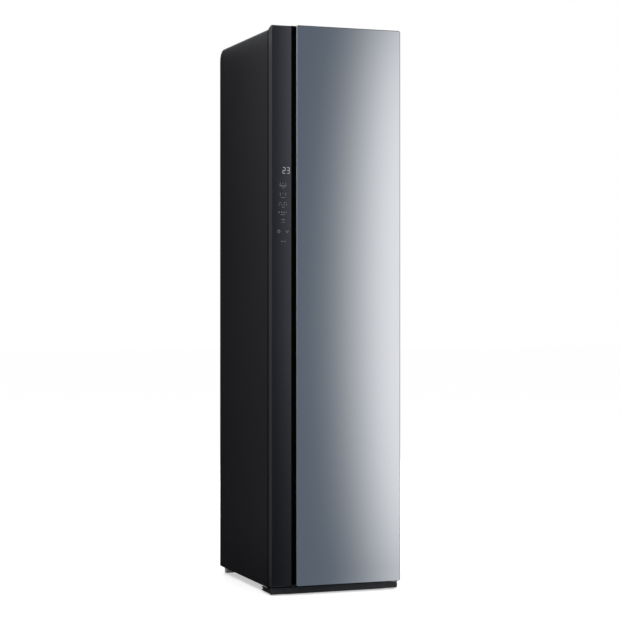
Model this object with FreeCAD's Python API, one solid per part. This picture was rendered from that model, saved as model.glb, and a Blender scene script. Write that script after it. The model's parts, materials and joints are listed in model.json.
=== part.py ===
import FreeCAD, Part
import math
import os

# Clothes care steam cabinet: a slim floor-standing cabinet with one full-height door hinged on the right.
# Millimetres. X right, Y back, Z up. Origin on the floor, under the middle of the cabinet.

Vec = FreeCAD.Vector

# ---- driving dimensions ----
cabinet_width = 445.0
total_depth = 585.0
total_height = 1850.0
door_depth = 50.0            # mirror face to the back of the door
door_gap = 6.0               # between the door and the cabinet, filled by the gasket
door_rise = 8.0              # door top above the cabinet top
door_lift = 7.0              # door's lower edge above the cabinet's lower edge
floor_gap = 23.0             # cabinet's lower edge above the floor

# casing of sheet steel
skin = 1.2
flange = 30.0                # folded edges of the side panels
edge_roll = 8.0              # rolled edge along the top and the back
rear_corner_r = 40.0
cover_inset = 12.0           # covers stop this far inside the sides
rear_skirt = 45.0            # flat part of the top cover below its rear bend
fascia_height = 65.0
bead_side = 52.0             # stiffening bead of the top cover, from the casing's edges
bead_front, bead_rear = 110.0, 90.0
bead_r = 20.0
louvre_rows = 12
louvre_pitch = 14.0
louvre_slot = 5.0
louvre_width = 90.0
louvre_x = 75.0
louvre_lift = 75.0           # lowest louvre above the rear cover's lower edge
hood_t, hood_reach = 0.9, 2.2
screw_head_r = 4.0
screw_head_h = 2.3
screw_shank_r = 1.75
screw_play = 0.1
rear_screw_inset = 22.0
rear_screw_rows = 4
rear_screw_low = 85.0        # lowest screw above the rear cover's lower edge
rear_screw_top = 200.0       # highest screw below the rear cover's upper edge

# running and seating clearances
shaft_play = 0.05            # radial, shaft in its bearing
slide_play = 0.3
loose_play = 1.0

# base
base_sheet = 2.0
base_lift = 6.0              # base plate above the cabinet's lower edge
base_rim = 29.0
foot_inset = 32.5
foot_setback = 71.5          # behind the casing's front
foot_stem_r = 5.0
foot_pad_r = 17.0
foot_pad_h = 8.0
foot_nut_h = 8.0
foot_stem_top = 52.0
foot_boss_h = 14.0
rear_foot_w = 30.0
rear_foot_l = 24.0
rear_foot_inset = 14.0
rear_foot_r = 7.0

# plinth
plinth_recess = 20.0
plinth_wall = 3.0
plinth_clearance = 4.0       # above the floor
plinth_top_gap = 5.0         # below the door
plinth_step = 4.0            # middle part stands proud of the ends
plinth_end = 52.5
arm_length = 95.0
arm_width = 6.5
arm_height = 13.0
arm_lift = 2.0
arm_flange = 3.5
clip_xs = (-120.0, 0.0, 120.0)
clip_w = 20.0

# front frame and compartment
ring_depth = 13.0
ring_sheet = 1.5
sill_top = 56.0
liner_margin = 40.5          # each side, liner to casing
liner_wall = 2.5
liner_corner_r = 14.0        # rear corner strips
drive_space = 77.0           # above the liner
rear_space = 74.0            # behind the liner
pad_t = 18.0                 # felt pads round the liner
pad_drop = 10.0              # pads end below the liner's top
machine_height = 470.0       # top of the compartment floor above the ground
floor_sheet = 3.0
floor_skirt = 15.0
shelf_rise = 130.0           # shelf above the compartment floor
ledge_width = 8.0
ledge_height = 12.0
ledge_front = 86.5           # ledge ends behind the casing's front and before the liner's back
ledge_back = 65.0
shelf_margin = 20.0          # shelf beyond each ledge end
slot_pitch, slot_w, slot_l = 36.0, 12.0, 68.0
tray_r = 14.0
tray_edge = 4.0
tray_h = 14.0

# hanger and its drive
bar_drop = 62.5              # bar below the ceiling
bar_r = 9.0
bar_half = 130.0
bar_notch_r = 6.5
bar_notch_w = 10.0
bar_notch_pitch = 100.0
stem_x = 50.0
stem_w, stem_t = 16.0, 6.0
stroke = 20.0
carriage_half = 90.0
carriage_width = 60.0
carriage_t = 4.0
carriage_lift = 5.0          # above the ceiling
rail_half = 125.0
rail_w = 12.0
rail_grip = 4.0
rail_lip = 2.2
bridge_lift = 31.0
bridge_sheet = 3.0
bridge_half = 60.0
bridge_front = 55.0          # before the crank shaft
bridge_rear = 12.0           # behind the motor
bearing_drop = 6.0
crank_r = 48.0
crank_disc_r = 30.0
crank_disc_t = 5.0
crank_pin_r = 4.0
crank_shaft_r = 5.0
crank_boss_r = 11.0
pulley_gap = 4.0
pulley_h = 12.0
belt_t = 2.0
belt_inset = 1.5
motor_pulley_r = 12.0
motor_distance = 120.0
motor_r = 33.0
motor_shaft_r = 3.0

# tanks and their bay
bay_lift = 119.0             # above the base plate
bay_height = 248.0
bay_wall = 3.0
bay_gap = 18.8               # between the bay and the air duct
tank_setback = 31.5
tank_wall = 2.5
tank_height = 231.0
tank_corner_r = 7.0
tank_side_play = 1.0
service_groove, service_grooves = 4.0, 4
service_margin = 32.0        # grooves end inside the liner's width
cap_r = 24.0
cap_h = 8.0
neck_r = 18.0
neck_play = 0.2
scoop_w, scoop_h, scoop_d = 97.0, 31.0, 20.0
scoop_r = 3.0

# filter and aroma cassette
filter_t, filter_h = 24.0, 65.0
filter_margin = 10.0         # filter ends inside the duct's ends
filter_setback = 48.5
aroma_w, aroma_t, aroma_h = 44.0, 24.0, 45.0
aroma_inset = 87.5
aroma_gap = 15.5             # between the cassette's collar and the duct
slot_play = 0.5
collar_wall = 2.0
lip_over = 4.0
lip_t = 4.0
grip_h = 8.0
cassette_grip_w = 24.0
filter_grip_w = 60.0
filter_frame = 6.0
grille_lip = 7.0
grille_t = 4.0
grille_edge, grille_slot = 8.0, 3.0
grille_inset = 9.5           # air outlet from the liner's left side
nozzle_r = 26.0
nozzle_h = 12.0
cover_half_x, cover_half_y, cover_h = 150.0, 46.0, 18.0
cover_wall = 3.0
lens_half, lens_w, lens_h = 70.0, 30.0, 5.0
lens_setback = 106.5

# air path and heat pump
duct_wall = 3.0
branch_setback = 21.5
plenum_inset = 22.5
plenum_gap = 25.0            # between the duct and the steamer
plenum_depth = 128.0
machine_depth = 289.0        # duct front to the inside of the rear cover
coil_depth = 40.0
coil_gap = 10.0
coil_lift = 89.0             # above the base plate
coil_height = 270.0
fin_pitch = 10.0
fin_slot = 6.0
stub_r = 4.0
liquid_rise = 40.0           # liquid pipe above the coils' lower edge
discharge_rise = 30.0        # discharge pipe above the suction pipe
compressor_stub = 25.0
fan_offset = 20.0            # right of the duct's middle
fan_lift = 170.0             # above the coils' lower edge
fan_r = 72.0
fan_depth = 44.0
scroll_r = 100.0
scroll_depth = 62.0
outlet_w = 80.0
inlet_r = 60.0
fan_motor_r, fan_motor_l = 38.0, 45.0
fan_shaft_r = 4.0
blade_count = 24
compressor_inset, compressor_setback = 97.5, 84.0
compressor_r = 55.0
compressor_h = 210.0
terminal_low, terminal_h = 105.0, 40.0
mount_h = 14.0
steamer_inset = 125.5
steamer_setback = 67.0       # behind the duct's front
steamer_w, steamer_d, steamer_h = 104.0, 94.0, 104.0
neck_steam_r = 16.5
pump_inset, pump_setback = 92.5, 86.5
pump_axis, pump_outlet = 28.0, 50.0
pump_r, pump_head_r = 22.0, 17.0
pump_foot_x, pump_foot_y = 32.0, 26.0
hose_r = 4.5
hose_stub, hose_clear, hose_rise, hose_bend = 8.0, 8.0, 60.0, 22.0
steamer_inlet_offset = 30.0
gland_inset, gland_lift = 52.5, 215.0
gland_r = 11.0
gland_bore_r = 4.5
gland_flange = 3.0
control_w, control_h = 125.0, 58.0
control_inset = 57.5
control_front, control_back = 24.5, 43.2
control_lid = 10.0
control_rib_pitch = 12.0

# door
strip_width = 65.0
groove_width = 16.0
mirror_glass_t = 5.0
mirror_corner_r = 6.0
strip_glass_t = 4.0
strip_recess = 9.0
strip_drop = 4.0
glass_edge = 0.6
mirror_edge = 1.4
door_sheet = 1.6
door_corner_r = 8.0
door_left_r = 3.0
cap_height = 32.0
cap_wall = 2.5
cap_drop = 2.0               # top cap below the mirror's top edge
cap_slope_drop = 8.0
cap_slope_depth = 27.5
grip_undercut = 27.5
grip_depth = 40.0            # from the mirror face to the bottom of the groove
lip_width = 16.0
liner_sheet = 2.0
dish_depth = 4.0
dish_margin = 42.0
dish_r = 14.0
gasket_inset, gasket_w = 22.5, 14.0
gasket_end = 4.0
window_w, window_h = 41.0, 300.0
window_shift = 8.0           # towards the mirror, from the strip's middle
window_drop = 595.0          # middle of the window below the door's top
board_t = 1.6
board_left, board_right = 5.0, 0.9      # board beyond the window
digit_w, digit_h, digit_pitch = 13.0, 26.0, 15.5

# hinges
hinge_inset = 17.5
hinge_setback = 30.5         # from the mirror face to the hinge axis
hinge_half = 14.0
hinge_sheet = 3.0
hinge_reach = 70.0
hinge_play = 1.0
hinge_screw_x = 6.0
hinge_screw_ys = (16.0, 34.0)
pin_r = 4.0
pin_length = 15.0
bush_r = 7.0
bush_flange_r = 9.0
bush_length = 20.0
bush_boss_r = 10.0
pocket_inset = 44.5
pocket_wall = 2.0

# trouser press on the inside of the door
press_inset = 76.5
press_foot = 690.0           # above the door's lower edge
press_head = 410.0           # below the door's top
press_corner_r = 14.0
hook_x, hook_w, hook_h, hook_reach = 55.0, 14.0, 34.0, 10.0
press_board_t = 8.0
press_gap = 5.0
press_plate_t = 10.0
press_margin = 20.0
press_wall = 2.5
press_axis_offset = 9.0      # beyond the board's edge
press_pin_r = 3.0
press_barrel_r = 5.5
press_barrel_l = 24.0
press_lug = 10.0
press_lug_inset = 45.0

# ---- places worked out from the driving dimensions ----
half = cabinet_width / 2
front = -total_depth / 2
back = total_depth / 2
cab_front = front + door_depth + door_gap
cab_top = total_height - door_rise
cab_bottom = floor_gap
door_back = front + door_depth
door_bottom = cab_bottom + door_lift
door_top = total_height
panel_back = back - screw_head_h - skin
panel_top = cab_top - skin
inner_x = half - skin
base_low = cab_bottom + base_lift
base_high = base_low + base_sheet
ring_front = cab_front + skin
ring_back = ring_front + ring_depth
liner_half = half - liner_margin
liner_inner = liner_half - liner_wall
liner_top = cab_top - drive_space
ceiling = liner_top - liner_wall
liner_back = panel_back - rear_space
rear_cover_top = cab_top - rear_corner_r - rear_skirt
rear_cover_low = cab_bottom + cover_inset
bar_level = ceiling - bar_drop
shelf_level = machine_height + shelf_rise
plenum_front = panel_back - machine_depth
plenum_left = -half + plenum_inset
steamer_x, steamer_y = half - steamer_inset, plenum_front + steamer_setback
plenum_right = steamer_x - steamer_w / 2 - plenum_gap
branch_front = cab_front + branch_setback
coil_bottom = base_high + coil_lift
fan_x = (plenum_left + plenum_right) / 2 + fan_offset
fan_z = coil_bottom + fan_lift
bay_back = plenum_front - bay_gap
bay_bottom = base_high + bay_lift
bay_top = bay_bottom + bay_height
foot_x, foot_y = half - foot_inset, cab_front + foot_setback
filter_y = cab_front + filter_setback
aroma_x = -half + aroma_inset
branch_half = -aroma_x - aroma_w / 2 - slot_play - collar_wall - aroma_gap
filter_w = 2 * (branch_half - filter_margin)
lens_y = cab_front + lens_setback
compressor_x, compressor_y = half - compressor_inset, panel_back - compressor_setback
compressor_top = base_high + mount_h + compressor_h
pump_x, pump_y = -half + pump_inset, cab_front + pump_setback
gland_x, gland_z = half - gland_inset, rear_cover_low + gland_lift
floor_low = machine_height - floor_skirt
hinge_x, hinge_y = half - hinge_inset, front + hinge_setback
pocket_left = half - pocket_inset
gasket_x0 = half - gasket_inset - gasket_w
window_level = door_top - window_drop
press_half = half - press_inset
press_bottom, press_top = door_bottom + press_foot, door_top - press_head
press_axis_x = press_half + press_axis_offset
strip_right = -half + strip_width
mirror_left = strip_right + groove_width
strip_face = front + strip_recess
strip_back = strip_face + strip_glass_t
mirror_back = front + mirror_glass_t
grip_right = mirror_left + grip_undercut
grip_back = front + grip_depth
cap_top = door_top - cap_drop


# ---- shape helpers ----
def box(x0, x1, y0, y1, z0, z1):
    return Part.makeBox(x1 - x0, y1 - y0, z1 - z0, Vec(x0, y0, z0))


def post(x, y, z0, z1, r):
    return Part.makeCylinder(r, z1 - z0, Vec(x, y, z0), Vec(0, 0, 1))


def rod_x(y, z, x0, x1, r):
    return Part.makeCylinder(r, x1 - x0, Vec(x0, y, z), Vec(1, 0, 0))


def rod_y(x, z, y0, y1, r):
    return Part.makeCylinder(r, y1 - y0, Vec(x, y0, z), Vec(0, 1, 0))


def joined(*shapes):
    return shapes[0].fuse(list(shapes[1:])).removeSplitter()


def without(shape, *tools):
    return shape.cut(list(tools))


def group(shapes):
    return Part.makeCompound(shapes)


def mirrored(shape):
    return shape.mirror(Vec(0, 0, 0), Vec(1, 0, 0))


def direction(edge):
    first, last = edge.Vertexes[0].Point, edge.Vertexes[-1].Point
    run = last - first
    return run.normalize() if run.Length > 1e-9 else Vec(0, 0, 0)


def is_along(edge, axis):
    straight = edge.Curve.TypeId == "Part::GeomLine"
    return straight and abs(direction(edge).dot(axis)) > 0.999


def rounded(shape, radius, wanted):
    edges = [edge for edge in shape.Edges if wanted(edge)]
    return shape.makeFillet(radius, edges)


def upright(edge):
    return is_along(edge, Vec(0, 0, 1))


def above(z):
    return lambda edge: edge.BoundBox.ZMin > z - 0.01


def below(z):
    return lambda edge: edge.BoundBox.ZMax < z + 0.01


def behind(y):
    return lambda edge: edge.BoundBox.YMin > y - 0.01


def ahead(y):
    return lambda edge: edge.BoundBox.YMax < y + 0.01


def upright_behind(y):
    return lambda edge: upright(edge) and behind(y)(edge)


def rounded_box(x0, x1, y0, y1, z0, z1, radius):
    return rounded(box(x0, x1, y0, y1, z0, z1), radius, upright)


def rounded_plate(x0, x1, y0, y1, z0, z1, radius):
    """A plate facing the front, with its four corners rounded."""
    return rounded(box(x0, x1, y0, y1, z0, z1), radius, lambda edge: is_along(edge, Vec(0, 1, 0)))


def plan(points, z0, z1):
    """An upright prism over a closed outline in the XY plane."""
    corners = [Vec(x, y, z0) for x, y in points]
    face = Part.Face(Part.makePolygon(corners + corners[:1]))
    return face.extrude(Vec(0, 0, z1 - z0))


def side_prism(points, x0, x1):
    """A prism along X over a closed outline in the YZ plane."""
    corners = [Vec(x0, y, z) for y, z in points]
    face = Part.Face(Part.makePolygon(corners + corners[:1]))
    return face.extrude(Vec(x1 - x0, 0, 0))


def tube(points, radius, bend):
    """A round bar along straight runs joined by tangent arcs."""
    path = [Vec(*point) for point in points]
    edges = []
    start = path[0]
    for before, corner, after in zip(path, path[1:], path[2:]):
        to_corner = (corner - before).normalize()
        from_corner = (after - corner).normalize()
        turn = math.acos(max(-1.0, min(1.0, to_corner.dot(from_corner))))
        reach = bend * math.tan(turn / 2)
        arc_start = corner - to_corner * reach
        arc_end = corner + from_corner * reach
        inward = (from_corner - to_corner).normalize()
        arc_mid = corner + inward * (bend / math.cos(turn / 2) - bend)
        edges.append(Part.makeLine(start, arc_start))
        edges.append(Part.Arc(arc_start, arc_mid, arc_end).toShape())
        start = arc_end
    edges.append(Part.makeLine(start, path[-1]))
    first_run = (path[1] - path[0]).normalize()
    section = Part.Wire(Part.Circle(path[0], first_run, radius).toShape())
    return Part.Wire(edges).makePipeShell([section], True, False)


# ---- casing ----
def side_profile(inset, bottom):
    y0, y1, top, r = cab_front + inset, panel_back - inset, panel_top - inset, rear_corner_r - inset
    slant = r * math.sqrt(0.5)
    lower_front, upper_front = Vec(0, y0, bottom), Vec(0, y0, top)
    bend_start, bend_end = Vec(0, y1 - r, top), Vec(0, y1, top - r)
    bend_mid = Vec(0, y1 - r + slant, top - r + slant)
    lower_back = Vec(0, y1, bottom)
    return Part.Face(Part.Wire([
        Part.makeLine(lower_front, upper_front),
        Part.makeLine(upper_front, bend_start),
        Part.Arc(bend_start, bend_mid, bend_end).toShape(),
        Part.makeLine(bend_end, lower_back),
        Part.makeLine(lower_back, lower_front),
    ]))


def rolled_block(inset, width, bottom):
    """The side panel's outline as a solid block with its top and back edges rolled."""
    block = side_profile(inset, bottom).extrude(Vec(width, 0, 0))
    outer_x = -half + inset
    block.translate(Vec(outer_x, 0, 0))

    def on_roll(edge):
        bounds = edge.BoundBox
        on_side = bounds.XMax < outer_x + 0.001
        front_line = bounds.YMax < cab_front + inset + 0.001
        bottom_line = bounds.ZMax < bottom + 0.001
        return on_side and not front_line and not bottom_line

    return rounded(block, edge_roll - inset, on_roll)


def rear_screw_spots():
    low, high = rear_cover_low + rear_screw_low, rear_cover_top - rear_screw_top
    pitch = (high - low) / (rear_screw_rows - 1)
    levels = [low + i * pitch for i in range(rear_screw_rows)] + [rear_cover_top + rear_skirt / 2]
    return [(side * (half - rear_screw_inset), level) for side in (-1, 1) for level in levels]


def rear_screw_holes():
    r = screw_shank_r + screw_play
    return [rod_y(x, z, panel_back - 4 * skin, back, r) for x, z in rear_screw_spots()]


def left_side_panel():
    panel = rolled_block(0.0, flange, cab_bottom).cut(rolled_block(skin, flange + skin, cab_bottom - skin))
    hinge_notch = box(-half + skin + slide_play, -half + flange + skin, cab_front - skin,
                      cab_front + 2 * skin, cab_bottom - skin, base_low + slide_play)
    return without(panel, hinge_notch, *rear_screw_holes())


def right_side_panel():
    return mirrored(left_side_panel())


def top_cover():
    cover_half = half - cover_inset
    wide = 2 * cover_half
    outer = side_profile(-skin, rear_cover_top).extrude(Vec(wide, 0, 0))
    inner = side_profile(0.0, rear_cover_top - skin).extrude(Vec(wide, 0, 0))
    sheet = outer.cut(inner)
    sheet = without(sheet, box(0, wide, cab_front - 2 * skin, cab_front, 0, 2 * total_height))
    sheet.translate(Vec(-cover_half, 0, 0))
    fascia_half = half - flange
    fascia = box(-fascia_half, fascia_half, cab_front, ring_front, cab_top - fascia_height, cab_top)
    bead_half = half - bead_side
    bead = rounded_box(-bead_half, bead_half, cab_front + bead_front, panel_back - bead_rear,
                       cab_top, cab_top + skin, bead_r)
    cover = joined(sheet, fascia, bead)
    return without(cover, *rear_screw_holes(), *upper_hinge_screw_holes())


def louvre_spots():
    levels = [rear_cover_low + louvre_lift + louvre_pitch * row for row in range(louvre_rows)]
    return [(x, z) for x in (-louvre_x, louvre_x) for z in levels]


def louvre_slots():
    w = louvre_width / 2
    return [box(x - w, x + w, panel_back - skin, back, z, z + louvre_slot) for x, z in louvre_spots()]


def louvre_hoods():
    """Pressed hood over each louvre: a slope open below, closed at both ends."""
    face, out = panel_back + skin, panel_back + skin + hood_reach
    hoods = []
    for x, z in louvre_spots():
        low, high = z + hood_t, z + louvre_slot + hood_t
        x0, x1 = x - louvre_width / 2 - hood_t, x + louvre_width / 2 + hood_t
        slope = side_prism([(face, high), (out, low + hood_t), (out, low), (out - hood_t, low),
                            (face, high - hood_t)], x0, x1)
        end = side_prism([(face, high), (out, low + hood_t), (out, low), (face, low)], x0, x0 + hood_t)
        other = end.translated(Vec(x1 - hood_t - x0, 0, 0))
        hoods.append(joined(slope, end, other))
    return hoods


def rear_cover():
    cover_half = half - cover_inset
    sheet = box(-cover_half, cover_half, panel_back, panel_back + skin, rear_cover_low, rear_cover_top)
    gland_hole = rod_y(gland_x, gland_z, panel_back - skin, back, gland_r)
    sheet = without(sheet, *louvre_slots(), gland_hole, *rear_screw_holes())
    return joined(sheet, *louvre_hoods())


def cord_gland():
    """Moulded cord outlet in the rear cover: a bush with a flange inside and out."""
    flange_r, inner_end = gland_r + gland_flange, panel_back - 2.5 * gland_flange
    body = rod_y(gland_x, gland_z, inner_end, panel_back + skin, gland_r)
    inner_flange = rod_y(gland_x, gland_z, panel_back - gland_flange, panel_back, flange_r)
    outer_flange = rod_y(gland_x, gland_z, panel_back + skin, back, flange_r)
    bore = rod_y(gland_x, gland_z, inner_end - 1, back + 1, gland_bore_r)
    return without(joined(body, inner_flange, outer_flange), bore)


def screw(head_at, axis):
    """Pan-head screw: the head's underside is at head_at, and the shank runs against axis."""
    length = 2 * skin if abs(axis.y) > 0.5 else hinge_sheet + skin
    head = Part.makeCylinder(screw_head_r, screw_head_h, head_at, axis)
    rim = [edge for edge in head.Edges if edge.BoundBox.Center.sub(head_at).dot(axis) > screw_head_h - 0.01]
    head = head.makeFillet(screw_head_h * 0.6, rim)
    recess_depth = screw_head_h * 0.5
    recess = Part.makeCylinder(screw_head_r * 0.4, recess_depth, head_at + axis * recess_depth, axis)
    shank = Part.makeCylinder(screw_shank_r, length, head_at - axis * length, axis)
    return head.cut(recess).fuse(shank).removeSplitter()


def cabinet_screws():
    rear = [screw(Vec(x, panel_back + skin, z), Vec(0, 1, 0)) for x, z in rear_screw_spots()]
    top = [screw(Vec(x, y, cab_top + hinge_sheet), Vec(0, 0, 1)) for x, y in upper_hinge_screw_spots()]
    return group(rear + top)


# ---- base, feet and plinth ----
def base_frame():
    roll = edge_roll - skin
    y0, y1 = ring_front, panel_back - skin
    rim_top, boss_top = base_low + base_rim, base_high + foot_boss_h
    pan = rounded(box(-inner_x, inner_x, y0, y1, base_low, rim_top), roll, upright_behind(y1))
    hollow = rounded(box(-inner_x + base_sheet, inner_x - base_sheet, y0 - 1, y1 - base_sheet,
                         base_high, rim_top + 1), roll - base_sheet, upright_behind(y1 - base_sheet))
    ring_room = box(-half, half, y0 - 1, ring_back, base_high, rim_top + 1)
    pan = without(pan, hollow, ring_room)
    for side in (-1, 1):
        boss = post(side * foot_x, foot_y, base_high, boss_top, 2.2 * foot_stem_r)
        thread = post(side * foot_x, foot_y, base_low - 1, boss_top + 1, foot_stem_r + shaft_play)
        pan = without(joined(pan, boss), thread)
    return pan


def front_foot(side):
    """Levelling foot: pad, hexagon for the spanner and threaded stem."""
    x = side * foot_x
    pad = rounded(post(x, foot_y, 0, foot_pad_h, foot_pad_r), 2.0, above(foot_pad_h))
    points = [(x + 10 * math.cos(math.radians(60 * i)), foot_y + 10 * math.sin(math.radians(60 * i)))
              for i in range(6)]
    nut = plan(points, foot_pad_h, foot_pad_h + foot_nut_h)
    stem = post(x, foot_y, foot_pad_h, foot_stem_top, foot_stem_r)
    return joined(pad, nut, stem)


def rear_feet():
    feet = []
    y1 = panel_back - skin - rear_foot_inset
    for side in (-1, 1):
        x = side * (half - rear_foot_inset - rear_foot_w / 2)
        foot = box(x - rear_foot_w / 2, x + rear_foot_w / 2, y1 - rear_foot_l, y1, 0, base_low)
        feet.append(rounded(foot, rear_foot_r, lambda edge: is_along(edge, Vec(1, 0, 0)) and below(0)(edge)))
    return group(feet)


def plinth_cover():
    """Kick plate with a proud middle, rounded ends, a shelf to the base and an arm along each side."""
    face = front + plinth_recess
    low, top = plinth_clearance, door_bottom - plinth_top_gap
    bevel = 1.5 * plinth_step
    mid = half - plinth_end
    end_face = face + plinth_step
    inner_face = end_face + plinth_wall
    corner_depth = 2 * plinth_wall
    outline = [(-half, end_face), (-mid - bevel, end_face), (-mid, face), (mid, face), (mid + bevel, end_face),
               (half, end_face), (half, inner_face + corner_depth), (-half, inner_face + corner_depth)]
    wall = plan(outline, low, top)
    wall = rounded(wall, corner_depth, lambda edge: upright(edge) and abs(edge.BoundBox.XMin) > half - 0.01
                   and ahead(end_face)(edge))
    inside = box(-half + arm_width, half - arm_width, inner_face, inner_face + 2 * corner_depth,
                 low - 1, top - plinth_wall)
    shelf_half = half - flange - plinth_clearance
    shelf_back = ring_back + plinth_wall
    shelf = box(-shelf_half, shelf_half, inner_face, shelf_back, top - plinth_wall, top)
    clips = [box(x - clip_w / 2, x + clip_w / 2, ring_front + plinth_wall, shelf_back, top, base_low)
             for x in clip_xs]
    plinth = joined(without(wall, inside), shelf, *clips)
    arm_low, arm_back = low + arm_lift, face + arm_length
    for side in (-1, 1):
        x0, x1 = sorted((side * half, side * (half - arm_width)))
        arm = box(x0, x1, inner_face, arm_back, arm_low, arm_low + arm_height)
        g0, g1 = sorted((side * half, side * (half - arm_width / 2)))
        recess = box(g0, g1, arm_back - 0.7 * arm_length, arm_back + 1, arm_low + arm_flange,
                     arm_low + arm_height - arm_flange)
        plinth = without(joined(plinth, arm), recess)
    return plinth


# ---- front frame, insulation and liner ----
def channel_bar(x0, x1, z0, z1, end_top):
    """Folded channel, open at the back, with its hollow ending at end_top."""
    bar = box(x0, x1, ring_front, ring_back, z0, z1)
    t = ring_sheet
    return without(bar, box(x0 + t, x1 - t, ring_front + t, ring_back + 1, z0 + t, end_top - t))


def front_frame():
    """Steel frame of four channels that the door seals against and the liner snaps into."""
    top = panel_top - skin
    roll = edge_roll - skin

    def outer_corner(edge):
        return is_along(edge, Vec(0, 1, 0)) and above(top)(edge) and edge.BoundBox.XMax < -inner_x + 0.01

    left = rounded(channel_bar(-inner_x, -liner_half, base_high, top, top - roll), roll, outer_corner)
    sill = channel_bar(-liner_half, liner_half, base_high, sill_top, sill_top)
    header = channel_bar(-liner_half, liner_half, liner_top, top, top)
    return group([left, mirrored(left), sill, header])


def insulation():
    """Felt pads against both sides and the back of the liner."""
    side = box(liner_half, liner_half + pad_t, ring_back, liner_back - liner_corner_r, floor_low,
               liner_top - pad_drop)
    rear = box(-liner_half + liner_corner_r, liner_half - liner_corner_r, liner_back, liner_back + pad_t,
               floor_low, liner_top - pad_drop)
    return group([mirrored(side), side, rear])


def stem_slots(z0, z1):
    w = stem_w / 2 + stroke + loose_play
    t = stem_t / 2 + loose_play
    return [box(x - w, x + w, -t, t, z0, z1) for x in (-stem_x, stem_x)]


def liner_side():
    """Left side panel of the lining, folded out over the front frame."""
    side = box(-liner_half, -liner_inner, ring_front, liner_back - liner_corner_r, bay_top, liner_top)
    lip = box(-half + flange, -liner_inner, cab_front, ring_front, bay_top, cab_top - fascia_height)
    return without(joined(side, lip), box(-half, half, bay_back, back, bay_top - 1, floor_low))


def liner_ledge():
    """Left rail that the shelf rests on."""
    return box(-liner_inner, -liner_inner + ledge_width, cab_front + ledge_front, liner_back - ledge_back,
               shelf_level - ledge_height, shelf_level)


def liner_corner():
    """Left rear corner strip, a quarter round from the side panel to the back panel."""
    x, y, r = -liner_half + liner_corner_r, liner_back - liner_corner_r, liner_corner_r
    hollow = post(x, y, floor_low - 1, liner_top + 1, r - liner_wall)
    quarter = post(x, y, floor_low, liner_top, r).common(box(x - r, x, y, y + r, floor_low, liner_top))
    return without(quarter, hollow)


def inner_liner():
    """Moulded panels of the compartment: both sides with their ledges, two rear corners, back and ceiling."""
    back_half = liner_half - liner_corner_r
    back_panel = box(-back_half, back_half, liner_back - liner_wall, liner_back, floor_low, liner_top)
    ceiling_back = liner_back - liner_wall
    ceiling_panel = box(-liner_inner, liner_inner, cab_front, ceiling_back, ceiling, liner_top)
    ceiling_panel = rounded(ceiling_panel, liner_corner_r - liner_wall, upright_behind(ceiling_back))
    ceiling_panel = without(ceiling_panel, *stem_slots(ceiling - 1, liner_top + 1))
    left = [liner_side(), liner_ledge(), liner_corner()]
    return group(left + [mirrored(piece) for piece in left] + [back_panel, ceiling_panel])


def filter_slot(width, thick, z0, z1, x=0.0, play=slot_play):
    return box(x - width / 2 - play, x + width / 2 + play, filter_y - thick / 2 - play,
               filter_y + thick / 2 + play, z0, z1)


def grille_bounds():
    x0 = -liner_inner + grille_inset
    y0 = plenum_front + plenum_depth
    return x0, x0 + outlet_w, y0, y0 + scroll_depth


def compartment_floor():
    """Moulded floor tray with openings for the filter, aroma cassette, steam nozzle and air outlet."""
    y0, y1 = ring_front, liner_back - liner_wall
    tray = box(-liner_inner, liner_inner, y0, y1, floor_low, machine_height)
    tray = rounded(tray, liner_corner_r - liner_wall, upright_behind(y1))
    hollow = box(-liner_inner + floor_sheet, liner_inner - floor_sheet, y0 + floor_sheet, y1 - liner_corner_r,
                 floor_low - 1, machine_height - floor_sheet)
    apron = box(-liner_inner, liner_inner, y0, y0 + floor_sheet, bay_top, floor_low)
    collar = filter_slot(filter_w, filter_t, floor_low, machine_height, play=slot_play + collar_wall)
    aroma_floor = machine_height - aroma_h - slide_play + lip_t
    aroma_collar = filter_slot(aroma_w, aroma_t, aroma_floor - collar_wall, machine_height, aroma_x,
                               slot_play + collar_wall)
    steam_boss = post(steamer_x, steamer_y, floor_low, machine_height, neck_steam_r + 4 * collar_wall)
    gx0, gx1, gy0, gy1 = grille_bounds()
    air_collar = box(gx0, gx1, gy0, gy1, floor_low, machine_height)
    floor = joined(without(tray, hollow), apron, collar, aroma_collar, steam_boss, air_collar)
    return without(
        floor,
        filter_slot(filter_w, filter_t, floor_low - 1, machine_height + 1),
        filter_slot(aroma_w, aroma_t, aroma_floor, machine_height + 1, aroma_x),
        post(steamer_x, steamer_y, floor_low - 1, machine_height + 1, neck_steam_r),
        outlet_passage(floor_low - 1, machine_height + 1))


def outlet_passage(z0, z1, walls=1):
    """The air outlet's inside, narrowed by a number of wall thicknesses."""
    gx0, gx1, gy0, gy1 = grille_bounds()
    inset = walls * duct_wall
    return box(gx0 + inset, gx1 - inset, gy0 + inset, gy1 - inset, z0, z1)


def air_grille():
    gx0, gx1, gy0, gy1 = grille_bounds()
    z = machine_height
    plate = rounded_box(gx0 - grille_lip, gx1 + grille_lip, gy0 - grille_lip, gy1 + grille_lip, z, z + grille_t,
                        grille_lip)
    spigot = without(outlet_passage(z - 8, z), outlet_passage(z - 9, z + 1, 2))
    slots = []
    y = gy0 + grille_edge
    while y < gy1 - grille_edge - grille_slot:
        slots.append(box(gx0 + grille_edge, gx1 - grille_edge, y, y + grille_slot, z - 1, z + grille_t + 1))
        y += 2 * grille_slot
    return without(joined(plate, spigot), *slots)


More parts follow.
